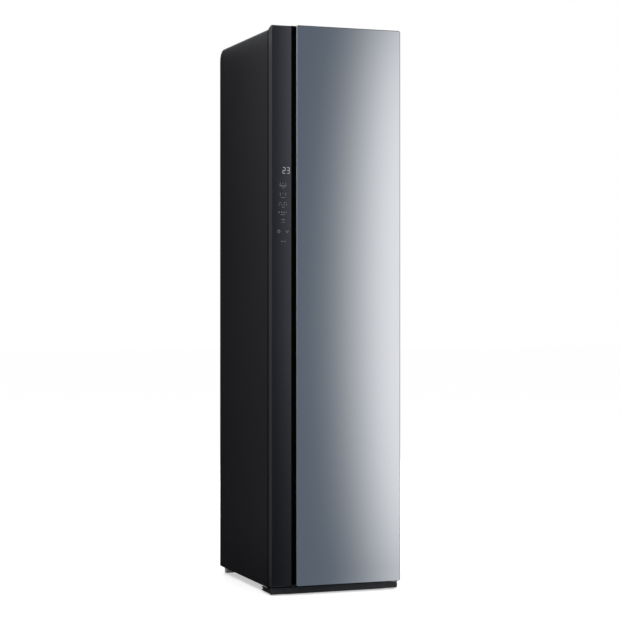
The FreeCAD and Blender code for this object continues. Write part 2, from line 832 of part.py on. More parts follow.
def steam_nozzle():
    """Domed steam outlet with a ring of slots, plugged into the steamer's neck opening."""
    x, y, z = steamer_x, steamer_y, machine_height
    cap = rounded(post(x, y, z, z + nozzle_h, nozzle_r), 7, above(z + nozzle_h))
    spigot = post(x, y, z - floor_sheet, z, neck_steam_r)
    hollow = post(x, y, z - floor_sheet - 1, z + nozzle_h - 4, neck_steam_r - 3)
    slots = []
    for i in range(6):
        slot = box(x + 6, x + 12, y - 1.5, y + 1.5, z + nozzle_h - 6, z + nozzle_h + 1)
        slot.rotate(Vec(x, y, 0), Vec(0, 0, 1), 60 * i)
        slots.append(slot)
    return without(joined(cap, spigot), hollow, *slots)


def lint_filter():
    """Framed filter that drops into its slot, with a grip along the top and mesh panels."""
    low, seat = machine_height - filter_h + lip_t, machine_height + slide_play
    frame = filter_slot(filter_w, filter_t, low, seat, play=0.0)
    lip = rounded(filter_slot(filter_w, filter_t, seat, seat + lip_t, play=lip_over), 5, upright)
    grip = rounded_box(-filter_grip_w / 2, filter_grip_w / 2, filter_y - 4, filter_y + 4, seat + lip_t,
                       machine_height + nozzle_h, 3)
    pitch = (filter_w - filter_frame) / 3
    windows = []
    for i in range(3):
        x0 = -filter_w / 2 + filter_frame + i * pitch
        x1, z0, z1 = x0 + pitch - filter_frame, low + filter_frame, machine_height - grip_h
        windows.append(box(x0, x1, filter_y - filter_t, filter_y - 1.5, z0, z1))
        windows.append(box(x0, x1, filter_y + 1.5, filter_y + filter_t, z0, z1))
    return without(joined(frame, lip, grip), *windows)


def aroma_cassette():
    """Slotted scent holder that drops into its pocket beside the filter."""
    low, seat = machine_height - aroma_h + lip_t, machine_height + slide_play
    body = filter_slot(aroma_w, aroma_t, low, seat, aroma_x, 0.0)
    lip = rounded(filter_slot(aroma_w, aroma_t, seat, seat + lip_t, aroma_x, lip_over), 5, upright)
    grip = rounded_box(aroma_x - cassette_grip_w / 2, aroma_x + cassette_grip_w / 2, filter_y - 3, filter_y + 3,
                       seat + lip_t, machine_height + nozzle_h, 2.5)
    slots = [filter_slot(3, aroma_t, low + 5, machine_height - grip_h, aroma_x + dx, 0.0)
             for dx in (-15, -9, -3, 3, 9, 15)]
    return without(joined(body, lip, grip), *slots)


def garment_shelf():
    """Lift-out shelf: a rimmed tray with long slots, resting on the liner's ledges."""
    x1, e, z0 = liner_inner - 3, tray_edge, shelf_level + slide_play
    y0, y1 = cab_front + ledge_front - shelf_margin, liner_back - ledge_back + shelf_margin
    tray = rounded_box(-x1, x1, y0, y1, z0, z0 + tray_h, tray_r)
    hollow = rounded_box(-x1 + e, x1 - e, y0 + e, y1 - e, z0 + e, z0 + tray_h + 1, tray_r - e)
    columns = int((x1 - slot_w) / slot_pitch)
    rows = int((y1 - y0) / (slot_l + slot_w))
    slots = []
    for i in range(-columns, columns + 1):
        for j in range(rows):
            x = i * slot_pitch - slot_w / 2
            y = (y0 + y1) / 2 + (j - rows / 2) * (slot_l + slot_w) + slot_w / 2
            slots.append(rounded_box(x, x + slot_w, y, y + slot_l, z0 - 1, z0 + e + 1, 0.45 * slot_w))
    return without(tray, hollow, *slots)


def ceiling_cover():
    """Moulded cover under the ceiling, round the slots that the hanger stems move in."""
    x1, y1, z0, w = cover_half_x, cover_half_y, ceiling - cover_h, cover_wall
    shell = rounded(rounded_box(-x1, x1, -y1, y1, z0, ceiling, 14), 5, below(z0))
    hollow = rounded_box(-x1 + w, x1 - w, -y1 + w, y1 - w, z0 + w, ceiling + 1, 11)
    return without(shell, hollow, *stem_slots(z0 - 1, ceiling))


def lamp_lens():
    z0 = ceiling - lens_h
    lens = rounded_box(-lens_half, lens_half, lens_y - lens_w / 2, lens_y + lens_w / 2, z0, ceiling, 10)
    return rounded(lens, 2.5, below(z0))


# ---- hanger and its drive ----
def hanger_bar():
    """Notched bar on two stems, with the sliding carriage and its crank slot above the ceiling."""
    bar = rod_x(0, bar_level, -bar_half, bar_half, bar_r)
    for i in (-1, 0, 1):
        x = i * bar_notch_pitch
        ring = without(rod_x(0, bar_level, x - bar_notch_w / 2, x + bar_notch_w / 2, bar_r + 1),
                       rod_x(0, bar_level, x - bar_notch_w / 2, x + bar_notch_w / 2, bar_notch_r))
        bar = without(bar, ring)
    ends = [rounded(rod_x(0, bar_level, x - 4, x + 4, bar_r + 3), 2.5, lambda edge: edge.Length > 40)
            for x in (-bar_half, bar_half)]
    deck = liner_top + carriage_lift
    stems = [box(x - stem_w / 2, x + stem_w / 2, -stem_t / 2, stem_t / 2, bar_level, deck + 1)
             for x in (-stem_x, stem_x)]
    carriage = box(-carriage_half, carriage_half, -carriage_width / 2, carriage_width / 2,
                   deck, deck + carriage_t)
    crank_slot = rounded_box(-crank_pin_r - slide_play, crank_pin_r + slide_play, -stroke - 2 * crank_pin_r,
                             stroke + 2 * crank_pin_r, deck - 1, deck + carriage_t + 1, crank_pin_r)
    return without(joined(bar, *ends, *stems, carriage), crank_slot)


def bridge_level():
    return liner_top + bridge_lift


def drive_frame():
    """Steel bracket on the ceiling: rails for the carriage and a bridge with the crank bearing."""
    deck = liner_top + carriage_lift
    bridge = bridge_level()
    rear, leg = motor_distance + motor_r + bridge_rear, bridge_sheet
    ahead_y = -bridge_front
    near = carriage_width / 2 + slide_play
    plates = [box(-bridge_half, bridge_half, ahead_y, rear, bridge, bridge + bridge_sheet)]
    plates.append(box(-bridge_half, bridge_half, ahead_y, ahead_y + leg, liner_top, bridge + bridge_sheet))
    plates.append(box(-bridge_half, bridge_half, rear - leg, rear, liner_top, bridge + bridge_sheet))
    plates.append(box(-bridge_half, bridge_half, near + rail_w - 1, rear, liner_top, liner_top + 2))
    plates.append(box(-bridge_half, bridge_half, ahead_y, -near - rail_w + 1, liner_top, liner_top + 2))
    for side in (-1, 1):
        top = deck + carriage_t + slide_play
        y0, y1 = sorted((side * near, side * (near + rail_w - rail_grip)))
        plates.append(box(-rail_half, rail_half, y0, y1, liner_top, top + rail_lip))
        g0, g1 = sorted((side * (near - rail_grip), side * (near + 1)))
        plates.append(box(-rail_half, rail_half, g0, g1, liner_top, deck - slide_play))
        plates.append(box(-rail_half, rail_half, g0, g1, top, top + rail_lip))
        f0, f1 = sorted((side * near, side * (near + rail_w)))
        plates.append(box(-bridge_half, bridge_half, f0, f1, liner_top, liner_top + 2))
    pulley_low = bridge + bridge_sheet + pulley_gap
    bearing = post(0, 0, bridge - bearing_drop, pulley_low - slide_play, crank_boss_r)
    frame = joined(*plates, bearing)
    return without(frame,
                   post(0, 0, bridge - bearing_drop - 1, pulley_low + 1, crank_shaft_r + shaft_play),
                   post(0, motor_distance, bridge - 1, bridge + bridge_sheet + 1, 8))


def crank_pulley():
    """Large pulley, shaft and crank disc with the pin that drives the carriage."""
    bridge = bridge_level()
    low = bridge + bridge_sheet + pulley_gap
    deck_top = liner_top + carriage_lift + carriage_t
    disc_top = bridge - bearing_drop - loose_play
    pulley = post(0, 0, low, low + pulley_h, crank_r)
    spokes = []
    for i in range(5):
        hole = post(crank_r * 0.6, 0, low - 1, low + pulley_h + 1, crank_r * 0.2)
        hole.rotate(Vec(0, 0, 0), Vec(0, 0, 1), 72 * i)
        spokes.append(hole)
    shaft = post(0, 0, disc_top - 1, low + 1, crank_shaft_r)
    disc = post(0, 0, disc_top - crank_disc_t, disc_top, crank_disc_r)
    pin = post(stroke, 0, deck_top + loose_play, disc_top, crank_pin_r)
    return joined(without(pulley, *spokes), shaft, disc, pin)


def belt_loop(extra, z0, z1):
    """A prism round both pulleys, standing off them by extra."""
    r0, r1 = crank_r + extra, motor_pulley_r + extra
    lean = (r0 - r1) / motor_distance
    level = math.sqrt(1 - lean * lean)
    flank = [(r0 * level, r0 * lean), (r1 * level, motor_distance + r1 * lean),
             (-r1 * level, motor_distance + r1 * lean), (-r0 * level, r0 * lean)]
    return joined(post(0, 0, z0, z1, r0), post(0, motor_distance, z0, z1, r1), plan(flank, z0, z1))


def drive_belt():
    low = bridge_level() + bridge_sheet + pulley_gap
    z0, z1 = low + belt_inset, low + pulley_h - belt_inset
    return without(belt_loop(slide_play + belt_t, z0, z1), belt_loop(slide_play, z0 - 1, z1 + 1))


def drive_pulley():
    low = bridge_level() + bridge_sheet + pulley_gap
    hub = post(0, motor_distance, low, low + pulley_h, motor_pulley_r)
    rims = [post(0, motor_distance, z, z + belt_inset - slide_play, motor_pulley_r + 3)
            for z in (low, low + pulley_h - belt_inset + slide_play)]
    bore = post(0, motor_distance, low - 1, low + pulley_h + 1, motor_shaft_r + shaft_play)
    return without(joined(hub, *rims), bore)


def drive_motor():
    bridge = bridge_level()
    body = rounded(post(0, motor_distance, liner_top + 2 + loose_play, bridge, motor_r), 2.0,
                   lambda edge: edge.BoundBox.ZMax < bridge - 1 and edge.Length > 60)
    nose = post(0, motor_distance, bridge - 1, bridge + bridge_sheet, 7.5)
    shaft = post(0, motor_distance, bridge, bridge + bridge_sheet + pulley_gap + pulley_h + 1, motor_shaft_r)
    return joined(body, nose, shaft)


# ---- tanks ----
def tank_bounds():
    """Left tank: x0, x1, y0, y1, z0, z1."""
    x0 = -liner_half + bay_wall + tank_side_play
    x1 = -bay_wall / 2 - tank_side_play
    y0 = cab_front + tank_setback
    y1 = bay_back - bay_wall - tank_side_play
    z0 = bay_bottom + bay_wall + slide_play
    return x0, x1, y0, y1, z0, z0 + tank_height


def tank_bay():
    """Moulded housing for the two tanks, with a divider and a service panel below."""
    y1 = bay_back
    outer = box(-liner_half, liner_half, ring_front, y1, bay_bottom, bay_top)
    cells = []
    for side in (-1, 1):
        x0, x1 = sorted((side * bay_wall / 2, side * (liner_half - bay_wall)))
        cells.append(box(x0, x1, ring_front - 1, y1 - bay_wall, bay_bottom + bay_wall, bay_top - bay_wall))
    service = box(-liner_half, liner_half, ring_front, ring_front + bay_wall, sill_top, bay_bottom)
    groove_half, pitch = liner_half - service_margin, 3 * service_groove
    first = (sill_top + bay_bottom - service_grooves * pitch + service_groove) / 2
    levels = [first + i * pitch for i in range(service_grooves)]
    grooves = [box(-groove_half, groove_half, ring_front - 2, ring_front + 1, z, z + service_groove)
               for z in levels]
    lip_half = half - flange
    lip = without(box(-lip_half, lip_half, cab_front, ring_front, sill_top, bay_top),
                  box(-liner_half + bay_wall, liner_half - bay_wall, cab_front - 1, ring_front + 1,
                      sill_top - 1, bay_top + 1))
    return without(joined(without(outer, *cells), service, lip), *grooves)


def tank_shell():
    """Left-hand tank: closed container with a finger scoop at the front and a filler neck on top."""
    x0, x1, y0, y1, z0, z1 = tank_bounds()
    w = tank_wall
    middle = (x0 + x1) / 2
    outer = rounded_box(x0, x1, y0, y1, z0, z1, tank_corner_r)
    scoop_z = z1 - 22 - scoop_h
    scoop = box(middle - scoop_w / 2, middle + scoop_w / 2, y0 - 1, y0 + scoop_d, scoop_z, scoop_z + scoop_h)
    scoop = rounded(scoop, scoop_r, lambda edge: is_along(edge, Vec(0, 1, 0)))
    cavity = rounded_box(x0 + w, x1 - w, y0 + w, y1 - w, z0 + w, z1 - w, tank_corner_r - w)
    scoop_wall = box(middle - scoop_w / 2 - w, middle + scoop_w / 2 + w, y0 - 1, y0 + scoop_d + w,
                     scoop_z - w, scoop_z + scoop_h + w)
    filler = post(middle, (y0 + y1) / 2, z1 - w - 1, z1 + 1, neck_r + neck_play)
    return without(outer, scoop, cavity.cut(scoop_wall), filler)


def tank_cap():
    """Knurled cap that plugs the filler hole."""
    x0, x1, y0, y1, z0, z1 = tank_bounds()
    x, y = (x0 + x1) / 2, (y0 + y1) / 2
    seat = z1 + slide_play
    knob = rounded(post(x, y, seat, seat + cap_h, cap_r), 2.0, above(seat + cap_h))
    notches = []
    for i in range(12):
        notch = post(x + cap_r + 1.5, y, z1, seat + cap_h + 1, 3.0)
        notch.rotate(Vec(x, y, 0), Vec(0, 0, 1), 30 * i)
        notches.append(notch)
    plug = post(x, y, z1 - 6, seat + 1, neck_r)
    return without(joined(knob, plug), *notches)


# ---- air path, heat pump and steam ----
def coil_y(index):
    """Front face of the evaporator (0) or the condenser (1)."""
    last_front = plenum_front + plenum_depth - duct_wall - coil_gap / 2 - coil_depth
    return last_front - (1 - index) * (coil_depth + coil_gap)


def air_duct():
    """Moulded duct from the lint filter, down past both coils to the blower."""
    w = duct_wall
    y1 = plenum_front + plenum_depth
    branch = box(-branch_half, branch_half, branch_front, plenum_front + 1, bay_top, floor_low)
    plenum = box(plenum_left, plenum_right, plenum_front, y1, base_high, floor_low)
    branch_air = box(-branch_half + w, min(branch_half, plenum_right) - w, branch_front + w,
                     plenum_front + w + 1, bay_top + w, floor_low - w)
    side_air = box(-branch_half + w, branch_half - w, branch_front + w, plenum_front - w, bay_top + w,
                   floor_low - w)
    plenum_air = box(plenum_left + w, plenum_right - w, plenum_front + w, y1 - w,
                     base_high + w, floor_low - w)
    ledge = box(plenum_left + 1, plenum_right - 1, coil_y(0), y1 - 1, coil_bottom - 6, coil_bottom)
    duct = joined(without(joined(branch, plenum), branch_air, side_air, plenum_air), ledge)
    stubs = [rod_x(y + coil_depth / 2, z, plenum_right - w - 1, plenum_right + 1, stub_r + slide_play)
             for y, z in stub_spots()]
    inlet = rod_y(fan_x, fan_z, y1 - w - 1, y1 + 1, inlet_r)
    return without(duct, filter_slot(filter_w, filter_t, floor_low - w - 1, floor_low + 1), inlet, *stubs)


def stub_spots():
    """Coil front and height of each pipe stub: suction and liquid in front, liquid and discharge behind."""
    liquid_z = coil_bottom + liquid_rise
    discharge_z = fan_z + discharge_rise
    return [(coil_y(0), fan_z), (coil_y(0), liquid_z), (coil_y(1), liquid_z), (coil_y(1), discharge_z)]


def coil(index):
    """Finned heat exchanger filling the duct, with two pipe stubs on the right."""
    x0, x1 = plenum_left + duct_wall, plenum_right - duct_wall
    y0 = coil_y(index)
    block = box(x0, x1, y0, y0 + coil_depth, coil_bottom, coil_bottom + coil_height)
    slots = []
    count = int((x1 - x0 - 2 * fin_pitch) / fin_pitch)
    for i in range(count):
        x = x0 + fin_pitch + i * fin_pitch
        slots.append(box(x, x + fin_slot, y0 - 1, y0 + 0.4 * coil_depth, coil_bottom + 8,
                         coil_bottom + coil_height - 8))
        slots.append(box(x, x + fin_slot, y0 + 0.6 * coil_depth, y0 + coil_depth + 1, coil_bottom + 8,
                         coil_bottom + coil_height - 8))
    stubs = [rod_x(y + coil_depth / 2, z, x1 - 1, plenum_right + 4, stub_r)
             for y, z in stub_spots() if abs(y - y0) < 0.001]
    return joined(without(block, *slots), *stubs)


def blower_housing():
    """Scroll casing with a round inlet in front and a square outlet up to the floor grille."""
    w = duct_wall
    y0 = plenum_front + plenum_depth
    y1 = y0 + scroll_depth
    gx0, gx1, gy0, gy1 = grille_bounds()
    outer = joined(rod_y(fan_x, fan_z, y0, y1, scroll_r), box(gx0, gx1, y0, y1, fan_z, floor_low))
    inner = joined(rod_y(fan_x, fan_z, y0 + w, y1 - w, scroll_r - w),
                   box(gx0 + w, gx1 - w, y0 + w, y1 - w, fan_z, floor_low + 1))
    inlet = rod_y(fan_x, fan_z, y0 - 1, y0 + w + 1, inlet_r)
    nose = rod_y(fan_x, fan_z, y1 - w - 1, y1 + 1, 2.5 * fan_shaft_r)
    foot = box(fan_x - 20, fan_x + 20, y0 + 10, y1 - 10, base_high, fan_z - scroll_r + 2)
    return joined(without(outer, inner, inlet, nose), foot)


def blower_wheel():
    """Forward-curved wheel: back plate, hub, front ring and a ring of blades."""
    y0 = plenum_front + plenum_depth + duct_wall + 6
    y1 = y0 + fan_depth
    plate = rod_y(fan_x, fan_z, y1 - 2.5, y1, fan_r)
    hub = rod_y(fan_x, fan_z, y1 - 18, y1, 3 * fan_shaft_r)
    ring = without(rod_y(fan_x, fan_z, y0, y0 + 3, fan_r), rod_y(fan_x, fan_z, y0 - 1, y0 + 4, fan_r - 11))
    blades = []
    for i in range(blade_count):
        blade = box(fan_x + fan_r - 10.5, fan_x + fan_r - 0.5, y0, y1, fan_z - 0.8, fan_z + 0.8)
        blade.rotate(Vec(fan_x + fan_r - 0.5, 0, fan_z), Vec(0, 1, 0), 12)
        blade.rotate(Vec(fan_x, 0, fan_z), Vec(0, 1, 0), 360.0 / blade_count * i)
        blades.append(blade)
    bore = rod_y(fan_x, fan_z, y0 - 1, y1 + 1, fan_shaft_r + shaft_play)
    return without(joined(plate, hub, ring, *blades), bore)


def blower_motor():
    y1 = plenum_front + plenum_depth + scroll_depth
    body = rounded(rod_y(fan_x, fan_z, y1, y1 + fan_motor_l, fan_motor_r), 3.0, behind(y1 + fan_motor_l))
    shaft = rod_y(fan_x, fan_z, y1 - duct_wall - 24, y1 + 1, fan_shaft_r)
    return joined(body, shaft)


def compressor_feet():
    spots = []
    for i in range(3):
        angle = math.radians(90 + 120 * i)
        spots.append((compressor_x + (compressor_r + 8) * math.cos(angle),
                      compressor_y + (compressor_r + 8) * math.sin(angle)))
    return spots


def compressor():
    """Hermetic shell on a three-legged foot plate, with two pipe stubs on its dome."""
    low = base_high + mount_h
    shell = post(compressor_x, compressor_y, low, compressor_top, compressor_r)
    shell = rounded(shell, 24, above(compressor_top))
    space = post(compressor_x, compressor_y, low + 40, compressor_top - 14, compressor_r - 14)
    plate = plan(compressor_feet(), low, low + 4)
    pads = [post(x, y, low, low + 4, 11) for x, y in compressor_feet()]
    stubs = [post(compressor_x + dx, compressor_y, compressor_top - 6, compressor_top + 8, stub_r + 1)
             for dx in (-compressor_stub, compressor_stub)]
    rear = compressor_y + compressor_r
    terminal_z = low + terminal_low
    terminal = rounded(box(compressor_x - 16, compressor_x + 16, rear - 6, rear + 10,
                           terminal_z, terminal_z + terminal_h), 3, behind(rear + 10))
    return without(joined(shell, plate, *pads, *stubs, terminal), space)


def compressor_mounts():
    mounts = []
    for x, y in compressor_feet():
        z0, z1 = base_high + 5, base_high + 9
        waist = without(post(x, y, z0, z1, 10), post(x, y, z0, z1, 7))
        mounts.append(without(post(x, y, base_high, base_high + mount_h, 9), waist))
    return group(mounts)


def refrigerant_pipes():
    x = plenum_right + 4
    top = compressor_top + 8
    cold_y, warm_y = coil_y(0) + coil_depth / 2, coil_y(1) + coil_depth / 2
    suction_z, discharge_z, liquid_z = fan_z, fan_z + discharge_rise, coil_bottom + liquid_rise
    left, right = compressor_x - compressor_stub, compressor_x + compressor_stub
    suction = tube([(x, cold_y, suction_z), (left, cold_y, suction_z), (left, compressor_y, suction_z),
                    (left, compressor_y, top)], stub_r, 14)
    discharge = tube([(x, warm_y, discharge_z), (right, warm_y, discharge_z),
                      (right, compressor_y, discharge_z), (right, compressor_y, top)], stub_r, 14)
    liquid = tube([(x, cold_y, liquid_z), (x + 26, cold_y, liquid_z), (x + 26, warm_y, liquid_z),
                   (x, warm_y, liquid_z)], stub_r - 1, 12)
    return group([suction, discharge, liquid])


def steamer_inlet():
    return steamer_x + steamer_inlet_offset, steamer_y - steamer_inlet_offset


def steam_generator():
    """Boiler hung by its neck from the compartment floor."""
    x, y, top = steamer_x, steamer_y, floor_low
    w, d = steamer_w / 2, steamer_d / 2
    body = rounded_box(x - w, x + w, y - d, y + d, top - steamer_h, top - 6, 12)
    shoulder = post(x, y, top - 7, top, neck_steam_r + 6)
    neck = post(x, y, top - 1, machine_height - floor_sheet, neck_steam_r)
    bore = post(x, y, top - 30, machine_height + 1, neck_steam_r - 4)
    inlet_x, inlet_y = steamer_inlet()
    inlet = post(inlet_x, inlet_y, top - steamer_h - hose_stub, top - steamer_h + 1, hose_r)
    band = rounded_box(x - w - 2, x + w + 2, y - d - 2, y + d + 2, top - 60, top - 48, 13)
    return without(joined(body, band, shoulder, neck, inlet), bore)


def water_pump():
    """Motor pump lying on a foot plate, with its outlet towards the middle."""
    x, y, z = pump_x, pump_y, base_high
    axis_z = z + pump_axis
    fx, fy = pump_foot_x, pump_foot_y
    foot = rounded_box(x - fx, x + fx, y - fy, y + fy, z, z + 4, 6)
    body = rod_x(y, axis_z, x - 30, x + pump_r, pump_r)
    web = box(x - 20, x + 14, y - 12, y + 12, z + 3, z + 14)
    head = rod_x(y, axis_z, x + pump_r, x + pump_outlet - 14, pump_head_r)
    outlet = rod_x(y, axis_z, x + pump_outlet - 14, x + pump_outlet, hose_r)
    return joined(foot, body, web, head, outlet)


def water_hose():
    """Silicone hose from the pump to the underside of the steamer."""
    z0 = base_high + pump_axis
    low = floor_low - steamer_h - hose_stub
    inlet_x, inlet_y = steamer_inlet()
    lane_y = plenum_front - hose_clear
    return tube([(pump_x + pump_outlet, pump_y, z0), (pump_x + 2 * pump_outlet, pump_y, z0),
                 (plenum_right + 2 * hose_clear, lane_y, z0), (inlet_x, lane_y, z0 + hose_rise),
                 (inlet_x, inlet_y, low - 2 * hose_rise), (inlet_x, inlet_y, low)], hose_r, hose_bend)


def control_box():
    """Closed housing of the power electronics, with a ribbed lid."""
    x1 = half - control_inset
    x0, y0, y1 = x1 - control_w, cab_front + control_front, bay_back - control_back
    seam, top = base_high + control_h, base_high + control_h + control_lid
    lower = rounded_box(x0, x1, y0, y1, base_high, seam, 6)
    lid = rounded_box(x0 - 2, x1 + 2, y0 - 2, y1 + 2, seam, top, 6)
    ribs = []
    y = y0 + control_rib_pitch
    while y < y1 - control_rib_pitch:
        ribs.append(box(x0 + 20, x1 - 20, y, y + 3, top - 1, top + 2))
        y += control_rib_pitch
    return joined(lower, lid, *ribs)


# ---- hinges ----
def hinge_plate(z0, z1):
    strap = box(hinge_x - hinge_half, hinge_x + hinge_half, hinge_y, hinge_y + hinge_reach, z0, z1)
    return joined(strap, post(hinge_x, hinge_y, z0, z1, hinge_half))


def upper_hinge_screw_spots():
    return [(hinge_x - hinge_screw_x, cab_front + y) for y in hinge_screw_ys]


def upper_hinge_screw_holes():
    r = screw_shank_r + screw_play
    return [post(x, y, panel_top - 0.5, cab_top + hinge_sheet + 1, r) for x, y in upper_hinge_screw_spots()]


def upper_hinge():
    plate = hinge_plate(cab_top, cab_top + hinge_sheet)
    pin = post(hinge_x, hinge_y, cab_top - hinge_play - pin_length, cab_top + 1, pin_r)
    return without(joined(plate, pin), *upper_hinge_screw_holes())


def lower_hinge():
    plate = hinge_plate(base_low - hinge_sheet, base_low)
    pin = post(hinge_x, hinge_y, base_low - 1, base_low + hinge_play + pin_length, pin_r)
    return joined(plate, pin)


def hinge_bushes():
    """Flanged sleeves in the door's end caps, turning on the hinge pins."""
    seat = cab_top - hinge_play
    bore = pin_r + shaft_play
    upper = joined(post(hinge_x, hinge_y, seat - bush_length, seat, bush_r),
                   post(hinge_x, hinge_y, seat, cab_top - slide_play, bush_flange_r))
    lower = joined(post(hinge_x, hinge_y, door_bottom, door_bottom + bush_length, bush_r),
                   post(hinge_x, hinge_y, base_low + slide_play, door_bottom, bush_flange_r))
    return group([without(upper, post(hinge_x, hinge_y, seat - bush_length - 1, cab_top + 1, bore)),
                  without(lower, post(hinge_x, hinge_y, base_low - 1, door_bottom + bush_length + 1, bore))])


# ---- door ----
def window_middle():
    return -half + strip_width / 2 + window_shift


def door_outline(z0, z1):
    """Plan of the door behind its glass, with the recess for the grip channel."""
    points = [(-half, strip_back), (strip_right, strip_back), (strip_right, grip_back),
              (grip_right, grip_back), (grip_right, mirror_back), (half, mirror_back),
              (half, door_back), (-half, door_back)]
    block = plan(points, z0, z1)
    rear_corner = upright_behind(door_back)
    block = rounded(block, door_corner_r, lambda edge: rear_corner(edge) and edge.BoundBox.XMin > 0)
    return rounded(block, door_left_r, lambda edge: rear_corner(edge) and edge.BoundBox.XMax < -half + 0.01)


def door_frame():
    """Folded shell of the door: both sides, the faces behind the glass and the back edges."""
    t = door_sheet
    z0, z1 = door_bottom + cap_height, cap_top - cap_height
    left = box(-half + t, strip_right - t, strip_back + t, door_back - t, z0 - 1, z1 + 1)
    right = box(grip_right + t, half - t, mirror_back + t, door_back - t, z0 - 1, z1 + 1)
    rear_corner = upright_behind(door_back - t)
    right = rounded(right, door_corner_r - t,
                    lambda edge: rear_corner(edge) and edge.BoundBox.XMin > half - 2 * t)
    behind = box(strip_right - t - 1, grip_right + t + 1, grip_back + t, door_back - t, z0 - 1, z1 + 1)
    rear_opening = box(-half + lip_width, half - lip_width, door_back - t - 1, door_back + 1, z0 - 1, z1 + 1)
    middle = window_middle()
    window = box(middle - window_w / 2, middle + window_w / 2, strip_back - 1, strip_back + t + 1,
                 window_level - window_h / 2, window_level + window_h / 2)
    return without(door_outline(z0, z1), left, right, behind, rear_opening, window)


def groove_end_block():
    """Solid end of the groove in the top cap, under the slope."""
    return box(strip_right, grip_right, door_back - cap_slope_depth, grip_back,
               cap_top - cap_slope_drop - cap_drop, cap_top)


def grip_channel():
    """Dark lining of the finger groove, undercut behind the mirror's left edge."""
    t = door_sheet
    z0, z1 = door_bottom + cap_drop, cap_top - cap_drop
    walls = box(strip_right, grip_right, strip_face, grip_back, z0, z1)
    lip = box(mirror_left, grip_right, mirror_back, strip_face, z0, z1)
    hollow = box(strip_right + t, grip_right - t, mirror_back + t, grip_back - t, z0 - 1, z1 + 1)
    mouth = box(strip_right + t, mirror_left, front, mirror_back + t + 1, z0 - 1, z1 + 1)
    return without(joined(walls, lip), hollow, mouth, groove_end_block())


def door_cap(z0, z1, outer_low):
    """Moulded end cap: hollow towards the door frame, closed at its outer end."""
    w = cap_wall
    hollow_low, hollow_high = (z0 + w, z1 + 1) if outer_low else (z0 - 1, z1 - w)
    cells = [box(-half + w, strip_right - w, strip_back + w, door_back - w, hollow_low, hollow_high),
             box(grip_right + w, half - 2 * w, mirror_back + w, door_back - w, hollow_low, hollow_high)]
    cap = without(door_outline(z0, z1), *cells)
    end_low, end_high = (z0, z0 + cap_drop) if outer_low else (z1 - cap_drop, z1)
    end_plate = box(strip_right, grip_right, strip_face, grip_back, end_low, end_high)
    seat = z0 if outer_low else cab_top - hinge_play
    boss_low, boss_high = (seat, seat + bush_length) if outer_low else (seat - bush_length, seat)
    boss = post(hinge_x, hinge_y, boss_low, boss_high, bush_boss_r)
    bore = post(hinge_x, hinge_y, boss_low - 1, boss_high + 1, bush_r)
    return without(joined(cap, end_plate, boss), bore)


def door_top_cap():
    z0 = cap_top - cap_height
    cap = door_cap(z0, cap_top, False)
    pocket_floor = cab_top - hinge_play
    floor_plate = box(pocket_left, half - 2 * cap_wall, mirror_back + 1, door_back - cap_wall,
                      pocket_floor - cap_wall, pocket_floor)
    wall = box(pocket_left - cap_wall, pocket_left, mirror_back + 1, door_back - cap_wall,
               pocket_floor - cap_wall, cap_top - 1)
    pocket = box(pocket_left, half + 1, mirror_back + pocket_wall, door_back + 1, pocket_floor, cap_top + 1)
    bore = post(hinge_x, hinge_y, pocket_floor - bush_length - 1, pocket_floor + 1, bush_r)
    slope_start = door_back - cap_slope_depth
    fall = cap_slope_drop / cap_slope_depth
    slope = side_prism([(slope_start, cap_top), (door_back + 1, cap_top - cap_slope_drop - fall),
                        (door_back + 1, cap_top + 1), (slope_start, cap_top + 1)], -half - 1, half + 1)
    under, rear = cap_top - cap_wall, door_back - cap_wall
    backing = side_prism([(slope_start, under), (rear, under - cap_slope_drop), (rear, cap_top),
                          (slope_start, cap_top)], -half + cap_wall, pocket_left)
    backing = without(backing, box(strip_right - cap_wall, grip_right + cap_wall, front, grip_back,
                                   z0, cap_top + 1))
    return without(joined(cap, floor_plate, wall, backing, groove_end_block()), slope, pocket, bore)


def door_bottom_cap():
    return door_cap(door_bottom, door_bottom + cap_height, True)


def mirror_glass():
    plate = rounded_plate(mirror_left, half, front, mirror_back, door_bottom, door_top, mirror_corner_r)
    return plate.makeChamfer(mirror_edge, [edge for edge in plate.Edges if ahead(front)(edge)])


def control_strip():
    plate = rounded_plate(-half, strip_right, strip_face, strip_back, door_bottom + strip_drop,
                          door_top - strip_drop, 2.0)
    return plate.makeChamfer(glass_edge, [edge for edge in plate.Edges if ahead(strip_face)(edge)])


def display_module():
    """Board behind the strip's window, with two digit blocks and a row of touch pads."""
    middle = window_middle()
    y = strip_back + door_sheet
    low, high = window_level - window_h / 2, window_level + window_h / 2
    board = box(middle - window_w / 2 - board_left, middle + window_w / 2 + board_right,
                y, y + board_t, low - 6, high + 6)
    pieces = [board]
    digits_x, digits_z = middle + window_w / 2 - digit_pitch, high - 12
    for x in (digits_x - digit_pitch / 2, digits_x + digit_pitch / 2):
        pieces.append(box(x - digit_w / 2, x + digit_w / 2, strip_back, y, digits_z - digit_h, digits_z))
    for row in range(6):
        z = high - 68 - 34 * row
        pieces.append(box(middle - 9, middle + 9, strip_back, y, z - 9, z + 9))
    connector = box(middle - 10, middle + 10, y + board_t, y + board_t + 7, low + 4, low + 14)
    return joined(*pieces, connector)


